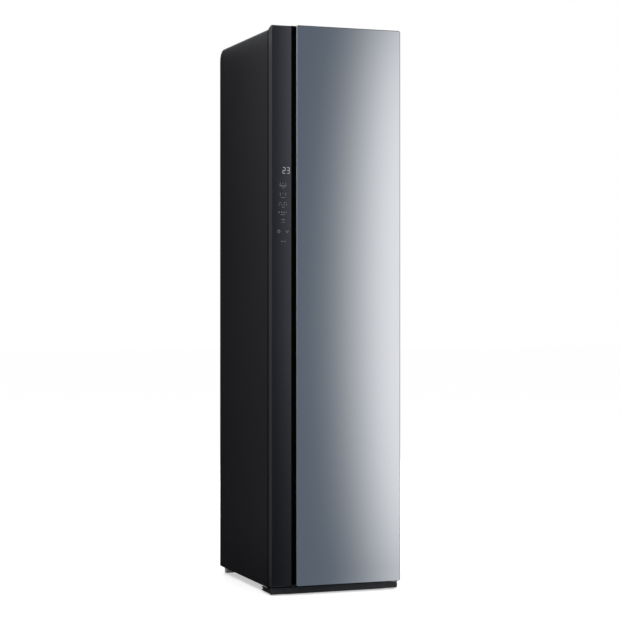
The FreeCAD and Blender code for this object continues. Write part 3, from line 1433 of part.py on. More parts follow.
def door_inner_liner():
    """Formed inner panel, dished so that the press and the tanks have room."""
    t = liner_sheet
    z0, z1 = door_bottom + cap_height, cap_top - cap_height
    y1 = door_back - door_sheet
    edge = half - lip_width / 2
    rim = box(-edge, edge, y1 - t, y1, z0, z1)
    x1 = gasket_x0 - 14
    dish = rounded_plate(-x1 - t, x1 + t, y1 - t - dish_depth, y1, z0 + dish_margin - t, z1 - dish_margin + t,
                         dish_r + t)
    hollow = rounded_plate(-x1, x1, y1 - dish_depth, y1 + 1, z0 + dish_margin, z1 - dish_margin, dish_r)
    return without(joined(rim, dish), hollow)


def door_gasket():
    z0, z1 = door_bottom + cap_height + gasket_end, cap_top - cap_height - gasket_end
    x1 = gasket_x0 + gasket_w
    y0, y1 = door_back - door_sheet, cab_front - slide_play
    outer = rounded_plate(-x1, x1, y0, y1, z0, z1, 14)
    inner = rounded_plate(-gasket_x0, gasket_x0, y0 - 1, y1 + 1, z0 + gasket_w, z1 - gasket_w, 6)
    ring = without(outer, inner)
    lip_edges = [edge for edge in ring.Edges if behind(y1)(edge)]
    return ring.makeChamfer(1.5, lip_edges)


def press_face():
    return door_back - door_sheet - dish_depth + press_board_t


def press_board():
    """Padded backing board with hinge lugs on the right and two trouser hooks on top."""
    y0 = press_face() - press_board_t
    y1 = press_face()
    board = rounded_plate(-press_half, press_half, y0, y1, press_bottom, press_top, press_corner_r)
    pieces = [board]
    axis_y = press_axis_y()
    for z, up in press_lugs():
        arm = box(press_half - 10, press_axis_x + 6, y0, y1 - 1, z, z + press_lug)
        ear = box(press_axis_x - press_barrel_r, press_axis_x + press_barrel_r, y1 - 2,
                  axis_y + press_barrel_r, z, z + press_lug)
        pin_low = z + press_lug - 1 if up else z - press_barrel_l
        pin = post(press_axis_x, axis_y, pin_low, pin_low + press_barrel_l + 1, press_pin_r)
        pieces += [arm, ear, pin]
    hook_top, hook_arm = press_top + hook_h, press_top + hook_h - 12
    for x in (-hook_x - hook_w / 2, hook_x - hook_w / 2):
        pieces.append(box(x, x + hook_w, y0, y0 + 4, press_top - 2, hook_top))
        pieces.append(box(x, x + hook_w, y0, y1 + hook_reach, hook_arm, hook_arm + 4))
        pieces.append(box(x, x + hook_w, y1 + hook_reach - 3, y1 + hook_reach, hook_arm, hook_top))
    return joined(*pieces)


def press_lugs():
    """Lower edge of each hinge lug, and whether its pin points up."""
    return (press_bottom + press_lug_inset, True), (press_top - press_lug_inset - press_lug, False)


def press_axis_y():
    return press_face() + press_gap + 3.0


def press_plate():
    """Cover that clamps the trousers to the board: a ribbed panel on two hinge barrels."""
    y0 = press_face() + press_gap
    y1 = y0 + press_plate_t
    z0, z1 = press_bottom + press_margin, press_top - press_margin
    x1 = press_half - 1
    axis_y = press_axis_y()
    panel = rounded_plate(-x1, x1, y0, y1, z0, z1, press_corner_r)
    panel = rounded(panel, 3.0, behind(y1))
    cells = []
    columns, rows = 3, 8
    cell_w = (2 * x1 - 2 * press_wall - 20) / columns
    cell_h = (z1 - z0 - 20) / rows
    for i in range(columns):
        for j in range(rows):
            x = -x1 + 12 + i * cell_w
            z = z0 + 10 + j * cell_h
            cells.append(box(x, x + cell_w - press_wall, y0 - 1, y1 - 1.6 * press_wall,
                             z, z + cell_h - press_wall))
    pieces, notches = [], []
    for z, up in press_lugs():
        low = z + press_lug + slide_play if up else z - press_barrel_l
        high = z + press_lug + press_barrel_l if up else z - slide_play
        pieces.append(post(press_axis_x, axis_y, low, high, press_barrel_r))
        pieces.append(box(x1 - 3, press_axis_x, axis_y - 2, axis_y + press_barrel_r - 1, low, high))
        notches.append(box(press_axis_x - 14, press_half + 1, y0 - 1, y1 + 1,
                           z - slide_play, z + press_lug + slide_play))
    panel = without(panel, *cells, *notches)
    bores = [post(press_axis_x, axis_y, press_bottom, press_top, press_pin_r + shaft_play)]
    return without(joined(panel, *pieces), *bores)


# ---- write one file per piece ----
nodes = {
    "left_side_panel": left_side_panel(),
    "right_side_panel": right_side_panel(),
    "top_cover": top_cover(),
    "rear_cover": rear_cover(),
    "cord_gland": cord_gland(),
    "cabinet_screws": cabinet_screws(),
    "base_frame": base_frame(),
    "front_foot_left": front_foot(-1),
    "front_foot_right": front_foot(1),
    "rear_feet": rear_feet(),
    "plinth_cover": plinth_cover(),
    "front_frame": front_frame(),
    "insulation": insulation(),
    "inner_liner": inner_liner(),
    "compartment_floor": compartment_floor(),
    "air_grille": air_grille(),
    "steam_nozzle": steam_nozzle(),
    "lint_filter": lint_filter(),
    "aroma_cassette": aroma_cassette(),
    "garment_shelf": garment_shelf(),
    "ceiling_cover": ceiling_cover(),
    "lamp_lens": lamp_lens(),
    "hanger_bar": hanger_bar(),
    "drive_frame": drive_frame(),
    "crank_pulley": crank_pulley(),
    "drive_pulley": drive_pulley(),
    "drive_belt": drive_belt(),
    "drive_motor": drive_motor(),
    "tank_bay": tank_bay(),
    "supply_tank": tank_shell(),
    "supply_tank_cap": tank_cap(),
    "drain_tank": mirrored(tank_shell()),
    "drain_tank_cap": mirrored(tank_cap()),
    "air_duct": air_duct(),
    "evaporator": coil(0),
    "condenser": coil(1),
    "blower_housing": blower_housing(),
    "blower_wheel": blower_wheel(),
    "blower_motor": blower_motor(),
    "compressor": compressor(),
    "compressor_mounts": compressor_mounts(),
    "refrigerant_pipes": refrigerant_pipes(),
    "steam_generator": steam_generator(),
    "water_pump": water_pump(),
    "water_hose": water_hose(),
    "control_box": control_box(),
    "upper_hinge": upper_hinge(),
    "lower_hinge": lower_hinge(),
    "hinge_bushes": hinge_bushes(),
    "door_frame": door_frame(),
    "grip_channel": grip_channel(),
    "door_top_cap": door_top_cap(),
    "door_bottom_cap": door_bottom_cap(),
    "mirror_glass": mirror_glass(),
    "control_strip": control_strip(),
    "display_module": display_module(),
    "door_inner_liner": door_inner_liner(),
    "door_gasket": door_gasket(),
    "press_board": press_board(),
    "press_plate": press_plate(),
}

os.makedirs("parts", exist_ok=True)
for name, shape in nodes.items():
    shape.exportStep("parts/" + name + ".step")
    print(name, len(shape.Solids), shape.isValid(), round(shape.Volume / 1000.0, 1), "cm3")
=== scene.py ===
import json
import math

import bmesh
import bpy
from mathutils import Matrix, Vector


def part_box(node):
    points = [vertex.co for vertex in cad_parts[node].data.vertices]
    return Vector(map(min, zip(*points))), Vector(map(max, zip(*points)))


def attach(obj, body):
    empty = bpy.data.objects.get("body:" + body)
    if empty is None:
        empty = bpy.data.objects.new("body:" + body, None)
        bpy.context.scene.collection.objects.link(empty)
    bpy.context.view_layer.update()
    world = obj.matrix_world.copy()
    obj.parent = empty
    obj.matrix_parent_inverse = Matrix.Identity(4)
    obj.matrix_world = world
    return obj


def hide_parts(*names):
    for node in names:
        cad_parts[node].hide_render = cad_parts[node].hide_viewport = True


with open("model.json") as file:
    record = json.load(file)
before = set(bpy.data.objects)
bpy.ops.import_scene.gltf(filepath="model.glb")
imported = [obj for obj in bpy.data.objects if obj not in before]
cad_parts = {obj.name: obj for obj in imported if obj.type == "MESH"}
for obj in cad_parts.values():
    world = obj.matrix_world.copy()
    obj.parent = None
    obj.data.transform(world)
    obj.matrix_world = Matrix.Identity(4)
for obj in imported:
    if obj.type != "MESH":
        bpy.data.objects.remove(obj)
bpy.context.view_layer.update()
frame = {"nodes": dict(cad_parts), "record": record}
bpy.ops.object.select_all(action="DESELECT")
mm = 0.001
print("frame loaded:", len(frame["nodes"]), "nodes")

# camera
cameraSet = {
    "place": (-2.0871, -5.6974, 0.9443),
    "turn": 20.222,        # degrees to the right of straight ahead
    "lens": 102.93,
    "shiftY": -0.0089,
}
cameraData = bpy.data.cameras.new("studioCamera")
cameraData.lens = cameraSet["lens"]
cameraData.sensor_width = 36.0
cameraData.shift_y = cameraSet["shiftY"]
cameraData.clip_start, cameraData.clip_end = 0.1, 80.0
camera = bpy.data.objects.new("studioCamera", cameraData)
camera.location = cameraSet["place"]
camera.rotation_euler = (math.radians(90), 0, math.radians(-cameraSet["turn"]))
bpy.context.scene.collection.objects.link(camera)
bpy.context.scene.camera = camera
bpy.context.scene.view_settings.view_transform = "Standard"


# helpers for node trees
def addNode(tree, kind, inputs=None, **settings):
    node = tree.nodes.new(kind)
    for key, value in settings.items():
        setattr(node, key, value)
    for key, value in (inputs or {}).items():
        node.inputs[key].default_value = value
    return node


def fillSocket(tree, socket, value):
    # takes a link, a number or a colour
    if isinstance(value, bpy.types.NodeSocket):
        tree.links.new(value, socket)
    else:
        socket.default_value = (*value, 1.0) if isinstance(value, tuple) else value


def mathNode(tree, operation, *values):
    node = addNode(tree, "ShaderNodeMath", operation=operation)
    for place, value in enumerate(values):
        fillSocket(tree, node.inputs[place], value)
    return node.outputs[0]


def times(tree, first, second):
    return mathNode(tree, "MULTIPLY", first, second)


def rest(tree, value):
    return mathNode(tree, "SUBTRACT", 1.0, value)


def mapRange(tree, value, fromLow, fromHigh, toLow=0.0, toHigh=1.0, smooth=False):
    node = addNode(tree, "ShaderNodeMapRange", {"From Min": fromLow, "From Max": fromHigh,
                                                "To Min": toLow, "To Max": toHigh})
    node.interpolation_type = "SMOOTHSTEP" if smooth else "LINEAR"
    tree.links.new(value, node.inputs["Value"])
    return node.outputs["Result"]


def mixColors(tree, factor, first, second):
    node = addNode(tree, "ShaderNodeMix", data_type="RGBA")
    for place, value in ((0, factor), (6, first), (7, second)):
        fillSocket(tree, node.inputs[place], value)
    return node.outputs[2]


def mixShaders(tree, factor, first, second):
    node = addNode(tree, "ShaderNodeMixShader")
    for place, value in enumerate((factor, first, second)):
        tree.links.new(value, node.inputs[place])
    return node.outputs[0]


def coordinates(tree, kind="Object"):
    return addNode(tree, "ShaderNodeTexCoord").outputs[kind]


def splitOf(tree, vector):
    split = addNode(tree, "ShaderNodeSeparateXYZ")
    tree.links.new(vector, split.inputs[0])
    return split.outputs


def directRays(tree):
    # one where the camera, a reflection or a see-through part looks straight at it
    path = addNode(tree, "ShaderNodeLightPath").outputs
    seen = mathNode(tree, "MAXIMUM", path["Is Camera Ray"], path["Is Glossy Ray"])
    return mathNode(tree, "MAXIMUM", seen, path["Is Transmission Ray"])


def newGroup(name, inputs, outputs):
    group = bpy.data.node_groups.new(name, "ShaderNodeTree")
    for label, kind, value in inputs:
        socket = group.interface.new_socket(label, in_out="INPUT", socket_type="NodeSocket" + kind)
        if value is not None:
            socket.default_value = value
    for label, kind in outputs:
        group.interface.new_socket(label, in_out="OUTPUT", socket_type="NodeSocket" + kind)
    return group, addNode(group, "NodeGroupInput").outputs, addNode(group, "NodeGroupOutput").inputs


def placeGroup(tree, name, values=None, vector=None):
    node = addNode(tree, "ShaderNodeGroup")
    node.node_tree = bpy.data.node_groups[name]
    for key, value in (values or {}).items():
        node.inputs[key].default_value = value
    if vector is not None:
        tree.links.new(vector, node.inputs["Vector"])
    return node.outputs


def noise(tree, vector, scale, detail=2.0, roughness=0.5):
    node = addNode(tree, "ShaderNodeTexNoise", {"Detail": detail, "Roughness": roughness})
    tree.links.new(vector, node.inputs["Vector"])
    fillSocket(tree, node.inputs["Scale"], scale)
    return node.outputs["Fac"]


# surface effects that several materials share
def buildToneDrift():
    # slow change of colour and gloss over a surface
    group, start, end = newGroup(
        "toneDrift",
        [("Vector", "Vector", None), ("Scale", "Float", 3.0), ("Spread", "Float", 0.5),
         ("Colour", "Color", (0.5, 0.5, 0.5, 1)), ("Second Colour", "Color", (0.4, 0.4, 0.4, 1))],
        [("Colour", "Color"), ("Mask", "Float")])
    broad = noise(group, start["Vector"], start["Scale"], 3.0)
    fine = noise(group, start["Vector"], times(group, start["Scale"], 9.0))
    both = mathNode(group, "ADD", times(group, broad, 0.7), times(group, fine, 0.3))
    mask = mapRange(group, both, 0.36, 0.64, smooth=True)
    colour = mixColors(group, times(group, mask, start["Spread"]), start["Colour"], start["Second Colour"])
    group.links.new(colour, end["Colour"])
    group.links.new(mask, end["Mask"])


def buildFineGrain():
    # moulded or sprayed texture: small rounded cells over softer waves
    group, start, end = newGroup(
        "fineGrain",
        [("Vector", "Vector", None), ("Scale", "Float", 900.0), ("Waves", "Float", 0.35)],
        [("Height", "Float"), ("Mask", "Float")])
    cells = addNode(group, "ShaderNodeTexVoronoi", {"Smoothness": 0.6}, feature="SMOOTH_F1")
    group.links.new(start["Vector"], cells.inputs["Vector"])
    group.links.new(start["Scale"], cells.inputs["Scale"])
    waves = noise(group, start["Vector"], times(group, start["Scale"], 0.22))
    height = mathNode(group, "ADD", cells.outputs["Distance"], times(group, waves, start["Waves"]))
    group.links.new(height, end["Height"])
    group.links.new(mapRange(group, height, 0.2, 0.9), end["Mask"])


def buildBrushLines():
    # long fine lines along one axis, as rolled or brushed metal has
    group, start, end = newGroup(
        "brushLines",
        [("Vector", "Vector", None), ("Stretch", "Vector", (1.0, 60.0, 60.0)), ("Scale", "Float", 12.0)],
        [("Height", "Float"), ("Mask", "Float")])
    scaled = addNode(group, "ShaderNodeVectorMath", operation="MULTIPLY")
    group.links.new(start["Vector"], scaled.inputs[0])
    group.links.new(start["Stretch"], scaled.inputs[1])
    lines = noise(group, scaled.outputs[0], start["Scale"], 4.0, 0.65)
    group.links.new(lines, end["Height"])
    group.links.new(mapRange(group, lines, 0.3, 0.7), end["Mask"])


def buildSoftEdges():
    # rounds the light on sharp edges and marks where they are
    group, start, end = newGroup("softEdges", [("Radius", "Float", 0.0008)],
                                 [("Normal", "Vector"), ("Mask", "Float")])
    bevel = addNode(group, "ShaderNodeBevel", samples=4)
    group.links.new(start["Radius"], bevel.inputs["Radius"])
    turn = addNode(group, "ShaderNodeVectorMath", operation="DOT_PRODUCT")
    group.links.new(bevel.outputs["Normal"], turn.inputs[0])
    group.links.new(addNode(group, "ShaderNodeNewGeometry").outputs["Normal"], turn.inputs[1])
    group.links.new(bevel.outputs["Normal"], end["Normal"])
    group.links.new(mapRange(group, turn.outputs["Value"], 0.995, 0.8), end["Mask"])


def buildSmudges():
    # faint wiped film on glass and mirror
    group, start, end = newGroup("smudges", [("Vector", "Vector", None), ("Scale", "Float", 4.0)],
                                 [("Mask", "Float")])
    warp = noise(group, start["Vector"], start["Scale"], 4.0, 0.6)
    fine = noise(group, start["Vector"], times(group, start["Scale"], 14.0), 3.0)
    group.links.new(times(group, mapRange(group, warp, 0.5, 0.75, smooth=True), fine), end["Mask"])


buildToneDrift()
buildFineGrain()
buildBrushLines()
buildSoftEdges()
buildSmudges()
print("surface effects built")


# finishes
shaderSockets = {
    "metal": "Metallic", "specular": "Specular IOR Level", "bend": "IOR", "through": "Transmission Weight",
    "coat": "Coat Weight", "coatRough": "Coat Roughness", "sheen": "Sheen Weight", "sheenRough": "Sheen Roughness",
    "milk": "Subsurface Weight", "milkDepth": "Subsurface Scale", "glow": "Emission Strength",
}
# painted shade: this black is painted on the faces round the door, where the gap between door and cabinet lies in
# shade
paintedShadeBlack = (0.0012, 0.0012, 0.0013)       # black of the faces round the door that no light reaches


def startMaterial(name):
    material = bpy.data.materials.new(name)
    material.use_nodes = True
    tree = material.node_tree
    return material, tree, tree.nodes["Principled BSDF"], coordinates(tree)


def setPlain(shader, **values):
    for name, value in values.items():
        shader.inputs[shaderSockets[name]].default_value = value


def driftOver(tree, vector, scale, spread, first, second):
    return placeGroup(tree, "toneDrift", {"Scale": scale, "Spread": spread, "Colour": (*first, 1),
                                          "Second Colour": (*second, 1)}, vector)


def roughOver(tree, shader, mask, low, high):
    tree.links.new(mapRange(tree, mask, 0.0, 1.0, low, high), shader.inputs["Roughness"])


def bumpOver(tree, shader, height, strength, distance, below=None):
    bump = addNode(tree, "ShaderNodeBump", {"Strength": strength, "Distance": distance})
    tree.links.new(height, bump.inputs["Height"])
    if below is not None:
        tree.links.new(below, bump.inputs["Normal"])
    tree.links.new(bump.outputs["Normal"], shader.inputs["Normal"])


def look(colour, second, drift, spread, rough, **more):
    # two colours, the size and spread of the drift between them, the range of roughness, and then
    # grain (scale, strength, depth) or lines (stretch, scale, strength, depth), and the width of soft edges
    return {"colour": colour, "second": second, "drift": drift, "spread": spread, "rough": rough, **more}


surfaceLooks = {
    "casing_black": look((0.0108, 0.0107, 0.0123), (0.0125, 0.0124, 0.014), 1.2, 0.8, (0.36, 0.44),
        grain=(1500.0, 0.1, 0.00004), edge=0.001, edgeLight=0.03, lipFrom=0.0, specular=0.36),
    "trim_black": look((0.021, 0.021, 0.0235), (0.027, 0.027, 0.03), 3.0, 0.7, (0.4, 0.52),
        grain=(1300.0, 0.25, 0.00008), edge=0.0009, edgeLight=0.05, lipFrom=1.0, specular=0.4),
    "door_steel": look((0.0266, 0.0262, 0.0289), (0.0302, 0.0298, 0.0325), 2.0, 0.7, (0.34, 0.42),
        grain=(1500.0, 0.1, 0.00004), edge=0.0008, edgeLight=0.04, bareFrom=-0.247, specular=0.42),
    "groove_black": look((0.0035, 0.0035, 0.0038), (0.005, 0.005, 0.0055), 4.0, 0.5, (0.6, 0.75),
        grain=(1200.0, 0.3, 0.00006), specular=0.15),
    "liner_grey": look((0.4, 0.41, 0.43), (0.42, 0.43, 0.45), 1.6, 0.4, (0.27, 0.32),
        grain=(900.0, 0.18, 0.00007), edge=0.001, coat=0.15, coatRough=0.12),
    "liner_dark": look((0.105, 0.11, 0.12), (0.13, 0.135, 0.145), 3.0, 0.6, (0.36, 0.48),
        grain=(900.0, 0.35, 0.0001), edge=0.0008, edgeLight=0.05),
    "gasket_rubber": look((0.045, 0.045, 0.048), (0.062, 0.062, 0.066), 8.0, 0.8, (0.55, 0.7),
        grain=(1600.0, 0.3, 0.00006), sheen=0.08),
    "zinc_steel": look((0.58, 0.59, 0.6), (0.47, 0.48, 0.5), 18.0, 0.9, (0.28, 0.46),
        lines=((1.0, 40.0, 40.0), 9.0, 0.12, 0.00004), edge=0.0006, metal=1.0),
    "hinge_steel": look((0.4, 0.41, 0.42), (0.47, 0.48, 0.49), 10.0, 0.6, (0.24, 0.36),
        lines=((40.0, 1.0, 40.0), 10.0, 0.15, 0.00004), edge=0.0007, metal=1.0),
    "screw_steel": look((0.3, 0.3, 0.31), (0.4, 0.4, 0.41), 40.0, 0.6, (0.25, 0.4),
        grain=(2500.0, 0.1, 0.00002), edge=0.0003, metal=1.0),
    "motor_steel": look((0.15, 0.155, 0.16), (0.19, 0.195, 0.2), 9.0, 0.7, (0.38, 0.5),
        grain=(1800.0, 0.15, 0.00004), edge=0.0007, metal=0.6),
    "compressor_black": look((0.016, 0.016, 0.018), (0.024, 0.024, 0.026), 9.0, 0.8, (0.3, 0.46),
        grain=(700.0, 0.3, 0.0001), edge=0.0009, edgeLight=0.05),
    "belt_rubber": look((0.022, 0.022, 0.022), (0.034, 0.034, 0.034), 20.0, 0.8, (0.6, 0.75),
        grain=(1500.0, 0.35, 0.00008)),
    "mount_rubber": look((0.04, 0.04, 0.042), (0.06, 0.06, 0.062), 20.0, 0.8, (0.58, 0.72),
        grain=(1500.0, 0.35, 0.00008)),
    "hose_silicone": look((0.68, 0.66, 0.6), (0.74, 0.72, 0.66), 12.0, 0.6, (0.34, 0.46),
        grain=(900.0, 0.1, 0.00004), milk=0.15, milkDepth=0.003),
    "pulley_white": look((0.74, 0.73, 0.68), (0.79, 0.78, 0.73), 10.0, 0.6, (0.38, 0.5),
        grain=(1000.0, 0.2, 0.00006), edge=0.0006),
    "bush_white": look((0.8, 0.8, 0.76), (0.85, 0.85, 0.82), 10.0, 0.6, (0.35, 0.45),
        grain=(1000.0, 0.15, 0.00005), edge=0.0005),
    "bar_chrome": look((0.74, 0.75, 0.77), (0.68, 0.69, 0.71), 12.0, 0.4, (0.06, 0.14),
        lines=((1.0, 60.0, 60.0), 8.0, 0.03, 0.00002), edge=0.0006, metal=1.0),
    "duct_grey": look((0.27, 0.28, 0.29), (0.32, 0.33, 0.34), 5.0, 0.7, (0.48, 0.6),
        grain=(800.0, 0.3, 0.0001), edge=0.0008),
    "fin_aluminium": look((0.7, 0.71, 0.73), (0.62, 0.63, 0.65), 20.0, 0.6, (0.24, 0.4),
        lines=((60.0, 60.0, 1.0), 8.0, 0.1, 0.00003), edge=0.0004, metal=1.0),
    "pipe_copper": look((0.72, 0.36, 0.22), (0.58, 0.29, 0.19), 16.0, 0.7, (0.22, 0.38),
        grain=(1800.0, 0.05, 0.00002), metal=1.0),
    "cap_blue": look((0.1, 0.22, 0.4), (0.125, 0.25, 0.43), 10.0, 0.6, (0.34, 0.46),
        grain=(1100.0, 0.25, 0.00008), edge=0.0007, edgeLight=0.06),
    "cap_grey": look((0.32, 0.33, 0.35), (0.36, 0.37, 0.39), 10.0, 0.6, (0.36, 0.48),
        grain=(1100.0, 0.25, 0.00008), edge=0.0007),
    "foot_grey": look((0.56, 0.56, 0.55), (0.62, 0.62, 0.61), 10.0, 0.6, (0.5, 0.62),
        grain=(900.0, 0.3, 0.0001), edge=0.001),
    "foot_black": look((0.038, 0.038, 0.038), (0.052, 0.052, 0.052), 10.0, 0.6, (0.5, 0.62),
        grain=(900.0, 0.3, 0.0001), edge=0.0008, edgeLight=0.04),
    "board_green": look((0.022, 0.12, 0.06), (0.032, 0.15, 0.075), 60.0, 0.9, (0.22, 0.42),
        grain=(700.0, 0.2, 0.00005)),
    "press_grey": look((0.17, 0.175, 0.185), (0.2, 0.205, 0.215), 3.0, 0.6, (0.42, 0.54),
        grain=(850.0, 0.45, 0.00012), edge=0.001, edgeLight=0.05),
}


def finishSurface(name, values):
    material, tree, shader, vector = startMaterial(name)
    drift = driftOver(tree, vector, values["drift"], values["spread"], values["colour"], values["second"])
    colour, normal = drift["Colour"], None
    if "grain" in values:
        scale, strength, distance = values["grain"]
        texture = placeGroup(tree, "fineGrain", {"Scale": scale}, vector)
    else:
        stretch, scale, strength, distance = values["lines"]
        texture = placeGroup(tree, "brushLines", {"Stretch": stretch, "Scale": scale}, vector)
    both = mathNode(tree, "ADD", times(tree, drift["Mask"], 0.6), times(tree, texture["Mask"], 0.4))
    roughOver(tree, shader, both, *values["rough"])
    if "edge" in values:
        edges = placeGroup(tree, "softEdges", {"Radius": values["edge"]})
        normal = edges["Normal"]
        # painted highlight: sharp edges get a base colour lighter by this much
        if "edgeLight" in values:
            highlightColour = tuple(min(1.0, value + values["edgeLight"]) for value in values["colour"])
            colour = mixColors(tree, times(tree, edges["Mask"], 0.5), colour, highlightColour)
    if "lipFrom" in values:
        # faces that look to the front from this height up get painted shade: black where the door gap is in shade
        front = mapRange(tree, splitOf(tree, coordinates(tree, "Normal"))["Y"], -0.75, -0.95)
        above = mathNode(tree, "GREATER_THAN", splitOf(tree, vector)["Z"], values["lipFrom"])
        colour = mixColors(tree, times(tree, front, above), colour, paintedShadeBlack)
    if "bareFrom" in values:
        # the folded edge behind the door's skin gets painted shade in black
        behind = mathNode(tree, "GREATER_THAN", splitOf(tree, vector)["Y"], values["bareFrom"])
        colour = mixColors(tree, behind, colour, paintedShadeBlack)
    tree.links.new(colour, shader.inputs["Base Color"])
    bumpOver(tree, shader, texture["Height"], strength, distance, normal)
    setPlain(shader, **{key: value for key, value in values.items() if key in shaderSockets})
    return material


mirrorLook = {
    "silver": (0.722, 0.738, 0.773), "silverSecond": (0.712, 0.729, 0.765), "rough": (0.004, 0.03),
    "border": 2.2 * mm, "edge": (0.022, 0.024, 0.026), "highlightEdgeColour": (0.150, 0.160, 0.175), "edgeRough": 0.45,
}


def finishMirror(name):
    # silver inside a thin dark border, with a painted highlight on the glass's edge beside the groove
    material, tree, shader, vector = startMaterial(name)
    facing, place = splitOf(tree, coordinates(tree, "Normal")), splitOf(tree, vector)
    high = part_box("mirror_glass")[1]
    face = mathNode(tree, "GREATER_THAN", mathNode(tree, "ABSOLUTE", facing["Y"]), 0.95)
    for axis, end in (("X", high[0]), ("Z", high[2])):
        face = times(tree, face, mathNode(tree, "LESS_THAN", place[axis], end - mirrorLook["border"]))
    film = placeGroup(tree, "smudges", {"Scale": 3.2}, vector)
    drift = driftOver(tree, vector, 0.9, 1.0, mirrorLook["silver"], mirrorLook["silverSecond"])
    # painted highlight: the edge that faces the groove gets a lighter colour than the other edges
    highlightSide = mathNode(tree, "LESS_THAN", facing["X"], -0.5)
    rim = mixColors(tree, highlightSide, mirrorLook["edge"], mirrorLook["highlightEdgeColour"])
    polish = mapRange(tree, film["Mask"], 0.0, 1.0, *mirrorLook["rough"])
    ends = times(tree, rest(tree, face), mirrorLook["edgeRough"])
    rough = mathNode(tree, "ADD", times(tree, polish, face), ends)
    tree.links.new(mixColors(tree, face, rim, drift["Colour"]), shader.inputs["Base Color"])
    tree.links.new(rough, shader.inputs["Roughness"])
    tree.links.new(face, shader.inputs["Metallic"])
    return material


# the strip's colour holds a painted reflection: dark on the left, lighter towards the groove, and dimmer towards
# the bottom
stripLook = {
    "left": (0.0080, 0.0082, 0.0100), "right": (0.0285, 0.029, 0.034), "end": 4 * mm, "bow": 1.3,   # across
    "fadeLow": 0.08, "fadeHigh": 0.85, "shareLow": 0.35, "shareHigh": 1.0,                          # upwards
    "rough": (0.05, 0.16),
}


def finishStripGlass(name):
    # black glass with a painted reflection in its colour that grows lighter towards the groove and the top
    material, tree, shader, vector = startMaterial(name)
    place = splitOf(tree, vector)
    low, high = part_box("control_strip")
    across = mapRange(tree, place["X"], low[0], high[0] - stripLook["end"])
    share = mathNode(tree, "POWER", across, stripLook["bow"])
    level = mapRange(tree, place["Z"], stripLook["fadeLow"], stripLook["fadeHigh"],
                     stripLook["shareLow"], stripLook["shareHigh"])
    paintedReflection = mixColors(tree, share, stripLook["left"], stripLook["right"])
    film = placeGroup(tree, "smudges", {"Scale": 5.0}, vector)
    edges = placeGroup(tree, "softEdges", {"Radius": 0.0006})
    tree.links.new(mixColors(tree, level, (0.0, 0.0, 0.0), paintedReflection), shader.inputs["Base Color"])
    roughOver(tree, shader, film["Mask"], *stripLook["rough"])
    bumpOver(tree, shader, film["Mask"], 0.02, 0.00002, edges["Normal"])
    setPlain(shader, bend=1.5)
    return material


def finishTank(name):
    # smoke-tinted clear plastic with faint moulded waves
    material, tree, shader, vector = startMaterial(name)
    drift = driftOver(tree, vector, 6.0, 0.7, (0.17, 0.20, 0.23), (0.22, 0.25, 0.28))
    grain = placeGroup(tree, "fineGrain", {"Scale": 260.0}, vector)
    edges = placeGroup(tree, "softEdges", {"Radius": 0.0012})
    tree.links.new(drift["Colour"], shader.inputs["Base Color"])
    roughOver(tree, shader, grain["Mask"], 0.10, 0.2)
    bumpOver(tree, shader, grain["Height"], 0.08, 0.0001, edges["Normal"])
    setPlain(shader, through=0.55, bend=1.45, coat=0.3, coatRough=0.08)
    return material


def finishLens(name):
    # frosted white cover of the lamp
    material, tree, shader, vector = startMaterial(name)
    drift = driftOver(tree, vector, 9.0, 0.6, (0.84, 0.85, 0.83), (0.78, 0.79, 0.77))
    grain = placeGroup(tree, "fineGrain", {"Scale": 700.0}, vector)
    for socket in ("Base Color", "Emission Color"):
        tree.links.new(drift["Colour"], shader.inputs[socket])
    roughOver(tree, shader, grain["Mask"], 0.3, 0.45)
    bumpOver(tree, shader, grain["Height"], 0.1, 0.00005)
    setPlain(shader, glow=3.0)
    return material


def finishFelt(name):
    # pale pressed fibres
    material, tree, shader, vector = startMaterial(name)
    drift = driftOver(tree, vector, 30.0, 0.5, (0.34, 0.33, 0.31), (0.41, 0.40, 0.37))
    fibres = placeGroup(tree, "brushLines", {"Stretch": (90.0, 30.0, 90.0), "Scale": 6.0}, vector)
    tree.links.new(drift["Colour"], shader.inputs["Base Color"])
    roughOver(tree, shader, fibres["Mask"], 0.85, 0.97)
    bumpOver(tree, shader, fibres["Height"], 0.5, 0.0004)
    setPlain(shader, sheen=0.3, sheenRough=0.6, specular=0.2)
    return material


glowLooks = {
    "displayGlow": {"colour": (0.70, 0.70, 0.72), "strength": 0.46},
    "iconGlow": {"colour": (0.34, 0.35, 0.37), "strength": 0.42},
}


def finishGlow(name):
    # lit print on the glass
    material, tree, shader, vector = startMaterial(name)
    colour = glowLooks[name]["colour"]
    drift = driftOver(tree, vector, 90.0, 0.5, colour, tuple(0.9 * value for value in colour))
    tree.links.new(mixColors(tree, 0.12, (0.0, 0.0, 0.0), drift["Colour"]), shader.inputs["Base Color"])
    tree.links.new(drift["Colour"], shader.inputs["Emission Color"])
    roughOver(tree, shader, drift["Mask"], 0.25, 0.4)
    setPlain(shader, glow=glowLooks[name]["strength"])
    return material


materials = {name: finishSurface(name, values) for name, values in surfaceLooks.items()}
for name, maker in (("displayGlow", finishGlow), ("iconGlow", finishGlow), ("mirror", finishMirror),
                    ("strip_glass_black", finishStripGlass), ("tank_smoke", finishTank),
                    ("lens_white", finishLens), ("felt", finishFelt)):
    materials[name] = maker(name)

slotOfNode = {part["node"]: part["material_slot"] for part in frame["record"]["subparts"]}
for nodeName, node in frame["nodes"].items():
    node.data.materials.clear()
    node.data.materials.append(materials[slotOfNode[nodeName]])
print("finishes given to", len(frame["nodes"]), "nodes")


# helpers for modelling
def pickOnly(thing):
    bpy.ops.object.select_all(action="DESELECT")
    thing.select_set(True)
    bpy.context.view_layer.objects.active = thing


def editAll():
    bpy.ops.object.mode_set(mode="EDIT")
    bpy.ops.mesh.select_all(action="SELECT")


